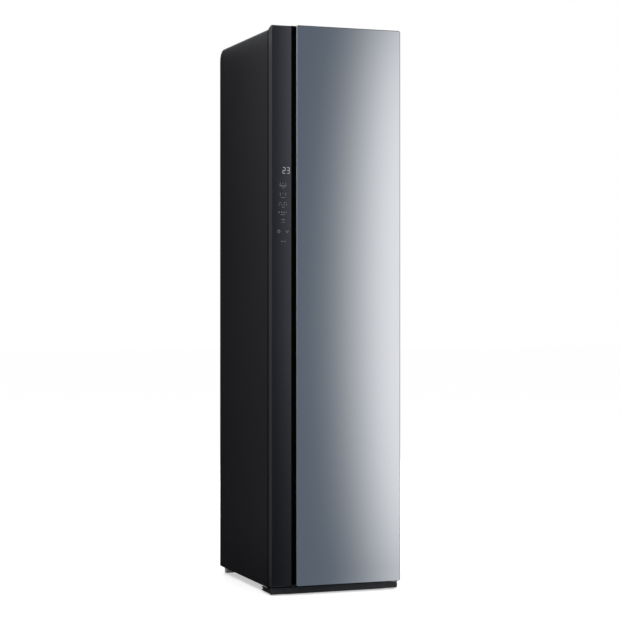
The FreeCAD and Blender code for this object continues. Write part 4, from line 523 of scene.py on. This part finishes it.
def editDone():
    bpy.ops.object.mode_set(mode="OBJECT")


def pickFaces(thing, wanted):
    # in edit mode: select only the faces that pass the test
    bpy.ops.mesh.select_mode(type="FACE")
    bpy.ops.mesh.select_all(action="DESELECT")
    for face in bmesh.from_edit_mesh(thing.data).faces:
        if wanted(face):
            face.select_set(True)
    bmesh.update_edit_mesh(thing.data)


def extrudeBy(move):
    bpy.ops.mesh.extrude_region_move(TRANSFORM_OT_translate={"value": move})


def taperFaces(thing, wanted, move, taper):
    pickFaces(thing, wanted)
    extrudeBy(move)
    bpy.ops.transform.resize(value=taper)


def startBlock(size):
    # a block of this size round the origin, left in edit mode for the next steps
    bpy.ops.mesh.primitive_cube_add(size=1.0)
    bpy.ops.object.mode_set(mode="EDIT")
    bpy.ops.transform.resize(value=size)
    return bpy.context.active_object


def faceOutwards():
    bpy.ops.mesh.select_all(action="SELECT")
    bpy.ops.mesh.normals_make_consistent(inside=False)


def bakePlace(thing):
    pickOnly(thing)
    bpy.ops.object.transform_apply(location=True, rotation=True, scale=True)


def addModifier(thing, kind, **settings):
    pickOnly(thing)
    modifier = thing.modifiers.new("shape", kind)
    for key, value in settings.items():
        setattr(modifier, key, value)
    bpy.ops.object.modifier_apply(modifier="shape")


def addBevel(thing, width):
    addModifier(thing, "BEVEL", width=width, segments=2, limit_method="ANGLE")


def joinAs(name, pieces):
    pickOnly(pieces[0])
    for piece in pieces:
        piece.select_set(True)
    if len(pieces) > 1:
        bpy.ops.object.join()
    pieces[0].name = pieces[0].data.name = name
    return pieces[0]


def copyAt(thing, place, turn=0.0):
    # a copy with its own mesh, turned in the front view and set in place
    other = thing.copy()
    other.data = thing.data.copy()
    other.data.transform(Matrix.Translation(place) @ Matrix.Rotation(turn, 4, "Y"))
    bpy.context.scene.collection.objects.link(other)
    return other


def finish(thing, slot, body, degrees=40, material=None):
    bakePlace(thing)
    bpy.ops.object.shade_smooth_by_angle(angle=math.radians(degrees))
    thing.data.materials.clear()
    thing.data.materials.append(materials[material or slot])
    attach(thing, body)


# display on the control strip
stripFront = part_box("control_strip")[0][1]
printSink = 0.02 * mm        # how deep the backs of digits and icons lie in the glass
digitSet = {
    "shown": "23", "firstX": -182.3 * mm, "pitch": 14.2 * mm, "middleZ": 1378.4 * mm,
    "width": 10.2 * mm, "height": 20.8 * mm, "stroke": 1.9 * mm, "gap": 0.5 * mm, "proud": 0.12 * mm,
}
litSegments = {"0": "abcdef", "1": "bc", "2": "abged", "3": "abgcd", "4": "fgbc", "5": "afgcd", "6": "afgecd",
               "7": "abc", "8": "abcdefg", "9": "abcdfg"}


def segmentBar(length):
    # one lit bar of a digit: a flat bar with pointed ends
    stroke = digitSet["stroke"]
    bar = startBlock((length - stroke, digitSet["proud"], stroke))
    for side in (-1, 1):
        taperFaces(bar, lambda face: face.normal.x * side > 0.9, (side * stroke / 2, 0, 0), (1, 1, 0.12))
    editDone()
    return bar


def makeDigits():
    stroke, gap = digitSet["stroke"], digitSet["gap"]
    side, upper = (digitSet["width"] - stroke) / 2, (digitSet["height"] - stroke) / 4
    across = segmentBar(2 * side - gap)
    upright = segmentBar(2 * upper - gap)
    spots = {"a": (0, 2 * upper), "g": (0, 0), "d": (0, -2 * upper),
             "b": (side, upper), "c": (side, -upper), "e": (-side, -upper), "f": (-side, upper)}
    bars = []
    y = stripFront - digitSet["proud"] / 2 + printSink
    for place, figure in enumerate(digitSet["shown"]):
        for letter in litSegments[figure]:
            x, z = spots[letter]
            bar, turn = (upright, math.pi / 2) if x else (across, 0.0)
            spot = (digitSet["firstX"] + place * digitSet["pitch"] + x, y, digitSet["middleZ"] + z)
            bars.append(copyAt(bar, spot, turn))
    bpy.data.objects.remove(across)
    bpy.data.objects.remove(upright)
    finish(joinAs("displayDigits", bars), "lens_white", "door", material="displayGlow")


iconSet = {"x": -186.0 * mm, "stroke": 1.15 * mm, "proud": 0.10 * mm}


def iconRing(x, z, width, height, corners):
    # closed outline with any number of corners, drawn as a thin raised line
    inner = [1 - 2 * iconSet["stroke"] / size for size in (width, height)]
    bpy.ops.mesh.primitive_circle_add(vertices=corners, radius=0.5, fill_type="NOTHING",
                                      rotation=(math.radians(90), 0, 0))
    ring = bpy.context.active_object
    bakePlace(ring)
    bpy.ops.object.mode_set(mode="EDIT")
    bpy.ops.mesh.select_mode(type="VERT")
    bpy.ops.mesh.select_all(action="SELECT")
    bpy.ops.transform.resize(value=(width, 1, height))
    extrudeBy((0, 0, 0))
    bpy.ops.transform.resize(value=(inner[0], 1, inner[1]))
    bpy.ops.mesh.select_all(action="SELECT")
    extrudeBy((0, -iconSet["proud"], 0))
    faceOutwards()
    bpy.ops.transform.translate(value=(x, stripFront + printSink, z))
    editDone()
    return ring


def iconBar(x, z, length, turn):
    stroke, proud = iconSet["stroke"], iconSet["proud"]
    bar = startBlock((length, proud, stroke))
    bpy.ops.transform.rotate(value=turn, orient_axis="Y", center_override=(0, 0, 0))
    bpy.ops.transform.translate(value=(x, stripFront - proud / 2 + printSink, z))
    editDone()
    addBevel(bar, 0.35 * stroke)
    return bar


iconRows = {
    # height of each icon's middle: its strokes as (across, up, length, lean in degrees), then its rings as
    # (across, up, width, height, corners)
    1330.9: (((-9.4, 5.6, 4.6, 78), (0.0, 5.6, 4.6, 78), (9.4, 5.6, 4.6, 78), (-6.2, -0.8, 13.2, -20),
              (6.2, -0.8, 13.2, 20), (0.0, -3.4, 24.0, 0), (1.2, -9.6, 9.0, 0)), ()),
    1297.7: (((-9.6, 4.4, 8.6, 90), (9.6, 4.4, 8.6, 90), (0.0, 5.6, 4.0, 90), (-9.6, -2.0, 2.6, 60),
              (9.6, -2.0, 2.6, -60), (0.0, -7.2, 13.4, 0)), ()),
    1264.4: (((-9.4, 9.4, 4.6, 12), (7.4, 9.4, 9.4, 0), (-12.3, 2.6, 5.4, 72), (-3.7, 2.8, 6.6, 90),
              (3.9, 2.8, 6.6, 90), (12.4, 2.6, 5.4, 90), (1.2, -5.6, 8.6, 0)), ()),
    1237.8: (((0.0, -2.4, 13.6, 0), (12.6, 4.8, 4.8, 78)),
             ((-13.2, 4.9, 4.4, 4.8, 12), (-4.0, 4.9, 4.4, 4.8, 12), (4.4, 4.9, 4.4, 4.8, 12))),
    1211.3: (((-0.2, 8.2, 11.0, 0), (2.6, 5.2, 5.0, 60), (-3.0, -1.8, 4.2, 0), (4.0, -1.8, 4.2, 0)), ()),
    1176.4: (((-14.2, 8.6, 4.4, 90), (17.4, 4.2, 8.6, 66), (12.2, 4.2, 8.6, -66), (14.8, 2.4, 5.0, 0)),
             ((-14.2, 3.8, 9.4, 9.4, 24),)),
    1143.1: (((-4.4, 5.4, 6.8, 0), (6.0, 5.4, 7.8, 0)), ()),
}


def makeIcons():
    parts = []
    for middle, (strokes, rings) in iconRows.items():
        for across, up, length, lean in strokes:
            parts.append(iconBar(iconSet["x"] + across * mm, (middle + up) * mm, length * mm, math.radians(lean)))
        for across, up, width, height, corners in rings:
            parts.append(iconRing(iconSet["x"] + across * mm, (middle + up) * mm, width * mm, height * mm, corners))
    finish(joinAs("touchIcons", parts), "lens_white", "door", material="iconGlow")


makeDigits()
makeIcons()
print("display and icons made")

gasketSet = {
    "inset": 7 * mm, "corner": 13 * mm, "steps": 6,
    # right half of the section in mm: distance from the middle of the strip, and height over the door liner
    "half": ((6.6, 0.0), (6.9, 0.8), (5.6, 1.5), (4.6, 2.1), (5.9, 3.0), (6.7, 3.9), (6.4, 5.2), (5.0, 6.4),
             (2.4, 7.1)),
}


def gasketSpine(low, high):
    # closed rounded outline in the front view's size, lying flat to be swept
    wide, tall = (high[axis] - low[axis] - 2 * gasketSet["inset"] for axis in (0, 2))
    bpy.ops.mesh.primitive_plane_add(size=1.0)
    spine = bpy.context.active_object
    spine.name = "doorGasket"
    bpy.ops.object.mode_set(mode="EDIT")
    bpy.ops.transform.resize(value=(wide, tall, 1))
    bpy.ops.mesh.select_all(action="SELECT")
    bpy.ops.mesh.bevel(offset=gasketSet["corner"], segments=gasketSet["steps"], affect="VERTICES")
    bpy.ops.mesh.delete(type="ONLY_FACE")
    editDone()
    bpy.ops.object.convert(target="CURVE")
    return spine


def gasketSection():
    points = [*gasketSet["half"], *((-x, y) for x, y in reversed(gasketSet["half"]))]
    bpy.ops.mesh.primitive_circle_add(vertices=len(points), radius=1.0, fill_type="NOTHING")
    section = bpy.context.active_object
    for vertex, (x, y) in zip(section.data.vertices, points):
        vertex.co = (x * mm, y * mm, 0)
    bpy.ops.object.convert(target="CURVE")
    return section


def makeGasket():
    low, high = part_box("door_gasket")
    spine, section = gasketSpine(low, high), gasketSection()
    spine.data.dimensions = "2D"
    spine.data.fill_mode = "NONE"
    spine.data.bevel_mode = "OBJECT"
    spine.data.bevel_object = section
    pickOnly(spine)
    bpy.ops.object.convert(target="MESH")
    gasket = bpy.context.active_object
    bpy.data.objects.remove(section)
    gasket.rotation_euler = (math.radians(90), 0, 0)
    bakePlace(gasket)
    editAll()
    bpy.ops.mesh.remove_doubles(threshold=0.00001)
    faceOutwards()
    editDone()
    bottom = min(vertex.co.y for vertex in gasket.data.vertices)
    gasket.location = ((low[0] + high[0]) / 2, low[1] - bottom, (low[2] + high[2]) / 2)
    finish(gasket, "gasket_rubber", "door", 50)
    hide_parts("door_gasket")


makeGasket()
print("gasket made")

# padded pieces
clothCell = 8 * mm          # size of the cloth's squares
swellSet = {"frames": 20, "pressure": 4.0, "mass": 0.3, "quality": 5}
pressPadSet = {
    "side": 10 * mm, "end": 18 * mm,          # margins
    "tall": 754 * mm, "face": -240.1 * mm,    # the board's flat part, and the y that the pad lies on
    "thick": 2.3 * mm, "rise": 1.0 * mm, "hem": 11 * mm, "sink": 0.8 * mm,
}
feltSet = {
    "margin": 3 * mm, "wall": 18 * mm, "clear": 0.4 * mm, "corner": 14 * mm,
    "rise": 1.6 * mm, "hem": 16 * mm, "sink": 3.0 * mm, "tuft": 0.21,
}


def padBlank(name, middle, across, tall, thick, turn, values):
    # a closed flat blank with its hem sewn down
    def towardsRim(vertex):
        return abs(2 * vertex.co.x / across), abs(2 * vertex.co.y / tall)

    bpy.ops.mesh.primitive_grid_add(x_subdivisions=round(across / clothCell),
                                    y_subdivisions=round(tall / clothCell), size=1.0)
    pad = bpy.context.active_object
    pad.name = pad.data.name = name
    pad.scale = (across, tall, 1)
    bakePlace(pad)
    for vertex in pad.data.vertices:
        u, v = towardsRim(vertex)
        vertex.co *= 1 - 0.025 * (u * v) ** 10          # rounds the corners a little
    editAll()
    extrudeBy((0, 0, thick))
    faceOutwards()
    editDone()
    held = pad.vertex_groups.new(name="held")
    for vertex in pad.data.vertices:
        u, v = towardsRim(vertex)
        fromHem = min((1 - u) * across, (1 - v) * tall) / 2 - values["hem"]
        if abs(fromHem) < 0.55 * clothCell and vertex.co.z > thick / 2:
            vertex.co.z -= values["sink"]
        if vertex.co.z < thick / 2 or fromHem < 0.55 * clothCell:
            held.add([vertex.index], 1.0, "REPLACE")
    pad.rotation_euler = turn
    pad.location = middle
    bakePlace(pad)
    return pad


def tuftDown(pad, middle, push, thick):
    # holds the filling down in rows of stitches, on the side that push points to
    spacing = feltSet["tuft"]
    flat = [axis for axis in range(3) if abs(push[axis]) < 0.5]
    for vertex in pad.data.vertices:
        apart = vertex.co - Vector(middle)
        if apart.dot(push) < thick * 0.4:
            continue
        steps = [apart[axis] / spacing + 0.5 for axis in flat]
        miss = max(abs(step - round(step)) for step in steps) * spacing
        if miss < 0.6 * clothCell:
            vertex.co -= push * 0.3 * thick
            pad.vertex_groups["held"].add([vertex.index], 1.0, "REPLACE")


def swell(pad, rise):
    # cloth blown up a little over its filling, with the travel of each point limited
    starts = [vertex.co.copy() for vertex in pad.data.vertices]
    pickOnly(pad)
    cloth = pad.modifiers.new("cloth", "CLOTH")
    cloth.settings.quality = swellSet["quality"]
    cloth.settings.mass = swellSet["mass"]
    cloth.settings.use_pressure = True
    cloth.settings.uniform_pressure_force = swellSet["pressure"]
    cloth.settings.vertex_group_mass = "held"
    cloth.settings.effector_weights.gravity = 0.0
    cloth.collision_settings.use_collision = False
    for step in range(1, swellSet["frames"] + 1):
        bpy.context.scene.frame_set(step)
    bpy.ops.object.modifier_apply(modifier="cloth")
    for vertex, start in zip(pad.data.vertices, starts):
        travel = vertex.co - start
        vertex.co = start + travel * (rise / (rise + travel.length))
    bpy.context.scene.frame_set(1)


def makePressPad():
    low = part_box("press_board")[0]
    across = 2 * (-low[0] - pressPadSet["side"])
    bottom, top = low[2] + pressPadSet["end"], low[2] + pressPadSet["tall"] - pressPadSet["end"]
    pad = padBlank("pressPad", (0, pressPadSet["face"], (bottom + top) / 2), across, top - bottom,
                   pressPadSet["thick"], (math.radians(-90), 0, 0), pressPadSet)
    swell(pad, pressPadSet["rise"])
    addModifier(pad, "SUBSURF", levels=1, render_levels=1)
    finish(pad, "felt", "door", 60)


def makeFeltPads():
    low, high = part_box("insulation")
    margin, wall, corner = feltSet["margin"], feltSet["wall"], feltSet["corner"]
    thick = wall - feltSet["rise"] - feltSet["clear"]
    middle, tall = (low[2] + high[2]) / 2, high[2] - low[2] - 2 * margin
    inner, back = high[0] - wall, high[1] - wall
    # where each pad lies, its width, its turn, and the way that it swells
    spots = [((0, back, middle), 2 * (inner - corner - margin), (math.radians(-90), 0, 0), Vector((0, 1, 0)))]
    for side in (-1, 1):
        spots.append(((side * inner, (low[1] + back - corner) / 2, middle), back - corner - low[1] - 2 * margin,
                      (math.radians(90), 0, math.radians(side * 90)), Vector((side, 0, 0))))
    pads = []
    for place, across, turn, push in spots:
        pad = padBlank("feltPads", place, across, tall, thick, turn, feltSet)
        tuftDown(pad, place, push, thick)
        swell(pad, feltSet["rise"])
        pads.append(pad)
    felt = joinAs("feltPads", pads)
    finish(felt, "felt", "cabinet", 60)
    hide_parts("insulation")


makePressPad()
makeFeltPads()
print("pads made")

webSet = {
    "arm": 5.6 * mm, "shelf": 37.0 * mm, "front": 6.2 * mm, "back": 35.9 * mm, "drop": 4.1 * mm,
    "thick": 1.6 * mm, "rib": 5.0 * mm, "edge": 0.25 * mm,
}


def makeWebs():
    # thin moulded webs that close the plinth's corners above the feet
    low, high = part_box("plinth_cover")
    thick = webSet["thick"]
    x0, x1 = low[0] + webSet["arm"], low[0] + webSet["shelf"]
    y0, y1 = low[1] + webSet["front"], low[1] + webSet["back"]
    z = high[2] - webSet["drop"] - thick / 2
    webs = []
    for side in (1, -1):
        web = startBlock((x1 - x0, y1 - y0, thick))
        bpy.ops.transform.translate(value=(side * (x0 + x1) / 2, (y0 + y1) / 2, z))
        pickFaces(web, lambda face: face.normal.z < -0.9)
        bpy.ops.mesh.inset(thickness=webSet["rib"])
        extrudeBy((0, 0, thick / 2))
        editDone()
        addBevel(web, webSet["edge"])
        webs.append(web)
    finish(joinAs("plinthWebs", webs), "trim_black", "cabinet")


screenSet = {
    "frame": 6 * mm, "lip": 4 * mm, "slack": 1 * mm, "low": 6.6 * mm, "high": 20.6 * mm, "core": 1.5 * mm,
    "cells": 18, "wire": 0.55 * mm,
}


def makeFilterScreen():
    low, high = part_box("lint_filter")
    edge, lip, wire = screenSet["frame"], screenSet["lip"], screenSet["wire"]
    x0, x1 = low[0] + lip, high[0] - lip
    z0, z1 = low[2] + screenSet["low"], high[2] - screenSet["high"]
    pitch = (x1 - x0 - edge) / 3
    bpy.ops.mesh.primitive_grid_add(x_subdivisions=screenSet["cells"], y_subdivisions=screenSet["cells"], size=1.0,
                                    rotation=(math.radians(90), 0, 0))
    screen = bpy.context.active_object
    screen.scale = (pitch - edge - screenSet["slack"], z1 - z0, 1)
    bakePlace(screen)
    addModifier(screen, "WIREFRAME", thickness=wire, use_even_offset=False)
    panels = []
    for place in range(3):
        for side in (-1, 1):
            x = x0 + edge + place * pitch + (pitch - edge) / 2
            y = (low[1] + high[1]) / 2 + side * (screenSet["core"] + wire / 2)
            panels.append(copyAt(screen, (x, y, (z0 + z1) / 2)))
    bpy.data.objects.remove(screen)
    finish(joinAs("filterScreen", panels), "cap_grey", "filter", 30)


markSet = {
    "count": 7, "first": 22 * mm, "pitch": 18 * mm, "aside": 58 * mm,
    "long": 15 * mm, "short": 8 * mm, "thick": 1.3 * mm, "proud": 0.35 * mm, "taper": (0.96, 1, 0.6),
}


def makeMarks(name, node, body):
    # level marks on a tank's front, every second one short
    low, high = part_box(node)
    right, proud = (low[0] + high[0]) / 2 + markSet["aside"], markSet["proud"]
    bars = []
    for place in range(markSet["count"]):
        length = markSet["short"] if place % 2 else markSet["long"]
        bar = startBlock((length, proud, markSet["thick"]))
        taperFaces(bar, lambda face: face.normal.y < -0.9, (0, -proud / 2, 0), markSet["taper"])
        bpy.ops.mesh.select_all(action="SELECT")
        z = low[2] + markSet["first"] + place * markSet["pitch"]
        bpy.ops.transform.translate(value=(right - length / 2, low[1], z))
        editDone()
        bars.append(bar)
    finish(joinAs(name, bars), "cap_grey", body)


makeWebs()
makeFilterScreen()
makeMarks("supplyMarks", "supply_tank", "supply_tank_body")
makeMarks("drainMarks", "drain_tank", "drain_tank_body")
print("webs, filter screen and tank marks made")

# studio
white = (1.0, 1.0, 1.0)
# what the mirror sees: dark on its left, fading to white on its right, closing in at the top and the bottom
cardSet = {
    "dark": (0.134, 0.162, 0.196),
    "start": -0.068, "width": 0.514, "power": 2.26,                  # across
    "middle": 0.972, "bow": 0.083, "narrow": -0.052, "dim": 0.316,   # up and down
    "y": -0.80, "slope": 0.40, "left": -3.4, "right": 0.47, "height": 2.0, "leftFade": 1.2, "topFade": 0.06,
}


def whiteShare(tree, across, upright):
    # one where the card is white, zero where it is dark
    away = mathNode(tree, "SUBTRACT", upright, cardSet["middle"])
    square = times(tree, away, away)
    start = mathNode(tree, "MULTIPLY_ADD", square, cardSet["bow"], cardSet["start"])
    width = times(tree, mathNode(tree, "MULTIPLY_ADD", square, cardSet["narrow"], 1.0), cardSet["width"])
    run = mathNode(tree, "DIVIDE", mathNode(tree, "SUBTRACT", across, start), width)
    curve = mathNode(tree, "POWER", mapRange(tree, run, 0.0, 1.0, smooth=True), cardSet["power"])
    dim = times(tree, times(tree, square, square), cardSet["dim"])
    return times(tree, curve, rest(tree, dim))


# dark cloth round the sides and the back, open to the front right, that only reflections see
clothSet = {
    "dark": (0.020, 0.020, 0.023), "radius": 3.2, "height": 5.0,
    "from": -12.0, "to": 68.0, "fade": 16.0, "top": 2.2, "clear": 4.5,
}


def clothShare(tree, place):
    turn = mathNode(tree, "ARCTAN2", place["X"], times(tree, place["Y"], -1.0))
    degrees = times(tree, turn, 180.0 / math.pi)
    middle, half = (clothSet["from"] + clothSet["to"]) / 2, (clothSet["to"] - clothSet["from"]) / 2
    away = mathNode(tree, "ABSOLUTE", mathNode(tree, "SUBTRACT", degrees, middle))
    return mapRange(tree, away, half, half + clothSet["fade"], smooth=True)


def clothCover(tree, place):
    upper = mapRange(tree, place["Z"], clothSet["top"], clothSet["clear"], 1.0, 0.0, smooth=True)
    return times(tree, clothShare(tree, place), upper)


def cardCover(tree, place):
    dark = rest(tree, whiteShare(tree, place["X"], place["Z"]))
    left, top = cardSet["left"], cardSet["height"]
    leftEnd = mapRange(tree, place["X"], left, left + cardSet["leftFade"], smooth=True)
    topEnd = mapRange(tree, place["Z"], top - cardSet["topFade"], top, 1.0, 0.0, smooth=True)
    return times(tree, times(tree, dark, leftEnd), topEnd)


# pale card beyond the left side: fading to the back, brighter upwards
sideSet = {
    "glow": (0.58, 0.60, 0.65), "x": -0.62, "front": 0.10, "back": 1.25, "low": 0.0, "high": 3.4,
    "full": 0.45, "dimTo": 0.50, "brightFrom": 1.80, "least": 0.19, "most": 0.34, "from": 2.15, "to": 2.60,
}


def sideCover(tree, place):
    across = mapRange(tree, place["Y"], sideSet["full"], sideSet["back"], 1.0, 0.0, smooth=True)
    lower = mapRange(tree, place["Z"], sideSet["dimTo"], sideSet["brightFrom"], sideSet["least"], sideSet["most"])
    upper = mapRange(tree, place["Z"], sideSet["from"], sideSet["to"], 0.0, 1.0 - sideSet["most"], smooth=True)
    return times(tree, across, mathNode(tree, "ADD", lower, upper))


# narrow bright card beside the top edge
rimSet = {
    "glow": (0.93, 0.95, 0.99), "x": -0.300, "front": -0.24, "back": 0.66, "low": 1.868, "high": 2.20, "fade": 0.02,
}


def rimCover(tree, place):
    return mapRange(tree, place["Z"], rimSet["low"], rimSet["low"] + rimSet["fade"])


def plainLight(tree, colour):
    node = addNode(tree, "ShaderNodeEmission")
    fillSocket(tree, node.inputs["Color"], colour)
    return node.outputs[0]


floorSet = {
    "size": 60.0, "colour": (0.80, 0.80, 0.80), "nearGlow": 0.50, "farGlow": 0.75, "near": 0.9, "far": 3.5,
    "cloth": (0.02, 0.02, 0.023), "footBack": -0.26,
}


def floorMaterial():
    # white to the camera with the object's soft shadow left on it; reflections see the card's foot on it
    material, tree, shader, vector = startMaterial("studioFloor")
    place = splitOf(tree, vector)
    for socket, value in (("Base Color", floorSet["colour"]), ("Roughness", 0.9), ("Specular IOR Level", 0.0),
                          ("Emission Color", white)):
        fillSocket(tree, shader.inputs[socket], value)
    square = mathNode(tree, "ADD", times(tree, place["X"], place["X"]), times(tree, place["Y"], place["Y"]))
    level = mapRange(tree, mathNode(tree, "SQRT", square), floorSet["near"], floorSet["far"],
                     floorSet["nearGlow"], floorSet["farGlow"], smooth=True)
    tree.links.new(times(tree, directRays(tree), level), shader.inputs["Emission Strength"])
    ahead = mathNode(tree, "SUBTRACT", place["Y"], cardSet["y"])
    share = whiteShare(tree, mathNode(tree, "MULTIPLY_ADD", ahead, cardSet["slope"], place["X"]), place["Z"])
    beyond = mathNode(tree, "LESS_THAN", place["Y"], cardSet["y"])
    openSide = times(tree, rest(tree, clothShare(tree, place)), beyond)
    foot = times(tree, rest(tree, beyond), mathNode(tree, "LESS_THAN", place["Y"], floorSet["footBack"]))
    around = mixColors(tree, openSide, floorSet["cloth"], white)
    seen = plainLight(tree, mixColors(tree, foot, around, mixColors(tree, share, cardSet["dark"], white)))
    glossy = addNode(tree, "ShaderNodeLightPath").outputs["Is Glossy Ray"]
    mixed = mixShaders(tree, glossy, shader.outputs[0], seen)
    tree.links.new(mixed, tree.nodes["Material Output"].inputs["Surface"])
    return material


def showReflected(thing, name, glow, cover):
    # only reflections see it: a plain glow where cover is one, see-through where it is zero
    thing.name = name
    bakePlace(thing)
    material, tree, shader, vector = startMaterial(name)
    tree.nodes.remove(shader)
    clear = addNode(tree, "ShaderNodeBsdfTransparent").outputs[0]
    mixed = mixShaders(tree, cover(tree, splitOf(tree, vector)), clear, plainLight(tree, glow))
    tree.links.new(mixed, tree.nodes["Material Output"].inputs["Surface"])
    thing.data.materials.append(material)
    for sight in ("camera", "diffuse", "shadow", "transmission", "volume_scatter"):
        setattr(thing, "visible_" + sight, False)


def hangSideways(name, values, cover):
    # upright card that looks to the right and runs from front to back
    middle = (values["x"], (values["front"] + values["back"]) / 2, (values["low"] + values["high"]) / 2)
    bpy.ops.mesh.primitive_plane_add(size=1.0, rotation=(0, math.radians(90), 0), location=middle)
    card = bpy.context.active_object
    card.scale = (values["high"] - values["low"], values["back"] - values["front"], 1.0)
    showReflected(card, name, values["glow"], cover)


def hangMirrorCard():
    left, right, top = cardSet["left"], cardSet["right"], cardSet["height"]
    bpy.ops.mesh.primitive_plane_add(size=1.0, rotation=(math.radians(90), 0, 0),
                                     location=((left + right) / 2, cardSet["y"], top / 2))
    card = bpy.context.active_object
    card.scale = (right - left, top, 1.0)
    showReflected(card, "mirrorCard", cardSet["dark"], cardCover)


def hangCloth():
    bpy.ops.mesh.primitive_cylinder_add(vertices=96, radius=clothSet["radius"], depth=clothSet["height"],
                                        end_fill_type="NOTHING", location=(0, 0, clothSet["height"] / 2))
    showReflected(bpy.context.active_object, "darkCloth", clothSet["dark"], clothCover)


def layFloor():
    bpy.ops.mesh.primitive_plane_add(size=floorSet["size"])
    floor = bpy.context.active_object
    floor.name = "studioFloor"
    floor.data.materials.append(floorMaterial())


worldSet = {"shown": 1.0, "light": 0.30}


def lightWorld():
    world = bpy.data.worlds.new("studioWorld")
    bpy.context.scene.world = world
    world.use_nodes = True
    tree = world.node_tree
    background = tree.nodes["Background"]
    fillSocket(tree, background.inputs["Color"], white)
    strength = mapRange(tree, directRays(tree), 0.0, 1.0, worldSet["light"], worldSet["shown"])
    tree.links.new(strength, background.inputs["Strength"])


lampSet = {   # size is across and up
    "keyLamp": {"place": (-0.78, -0.98, 1.64), "aim": (-0.22, -0.10, 1.15), "size": (0.3, 1.5), "power": 18.0},
    "fillLamp": {"place": (2.6, -3.2, 2.2), "aim": (0.0, -0.2, 1.0), "size": (2.0, 2.0), "power": 45.0},
    "topLamp": {"place": (0.2, 0.3, 4.2), "aim": (0.0, 0.0, 1.0), "size": (2.2, 2.2), "power": 40.0},
    "backLamp": {"place": (0.9, 3.6, 2.4), "aim": (0.1, 0.2, 1.0), "size": (2.2, 2.2), "power": 90.0},
    "sideLamp": {"place": (3.6, 1.2, 2.2), "aim": (0.2, 0.1, 1.0), "size": (2.2, 2.2), "power": 60.0},
}


def setLamps():
    for name, lamp in lampSet.items():
        data = bpy.data.lights.new(name, "AREA")
        data.shape = "RECTANGLE"
        data.energy = lamp["power"]
        data.size, data.size_y = lamp["size"]
        light = bpy.data.objects.new(name, data)
        light.location = lamp["place"]
        light.rotation_euler = (Vector(lamp["aim"]) - Vector(lamp["place"])).to_track_quat("-Z", "Y").to_euler()
        light.visible_glossy = light.visible_camera = False
        bpy.context.scene.collection.objects.link(light)


layFloor()
lightWorld()
setLamps()
hangMirrorCard()
hangCloth()
hangSideways("sideCard", sideSet, sideCover)
hangSideways("rimCard", rimSet, rimCover)
print("studio built")
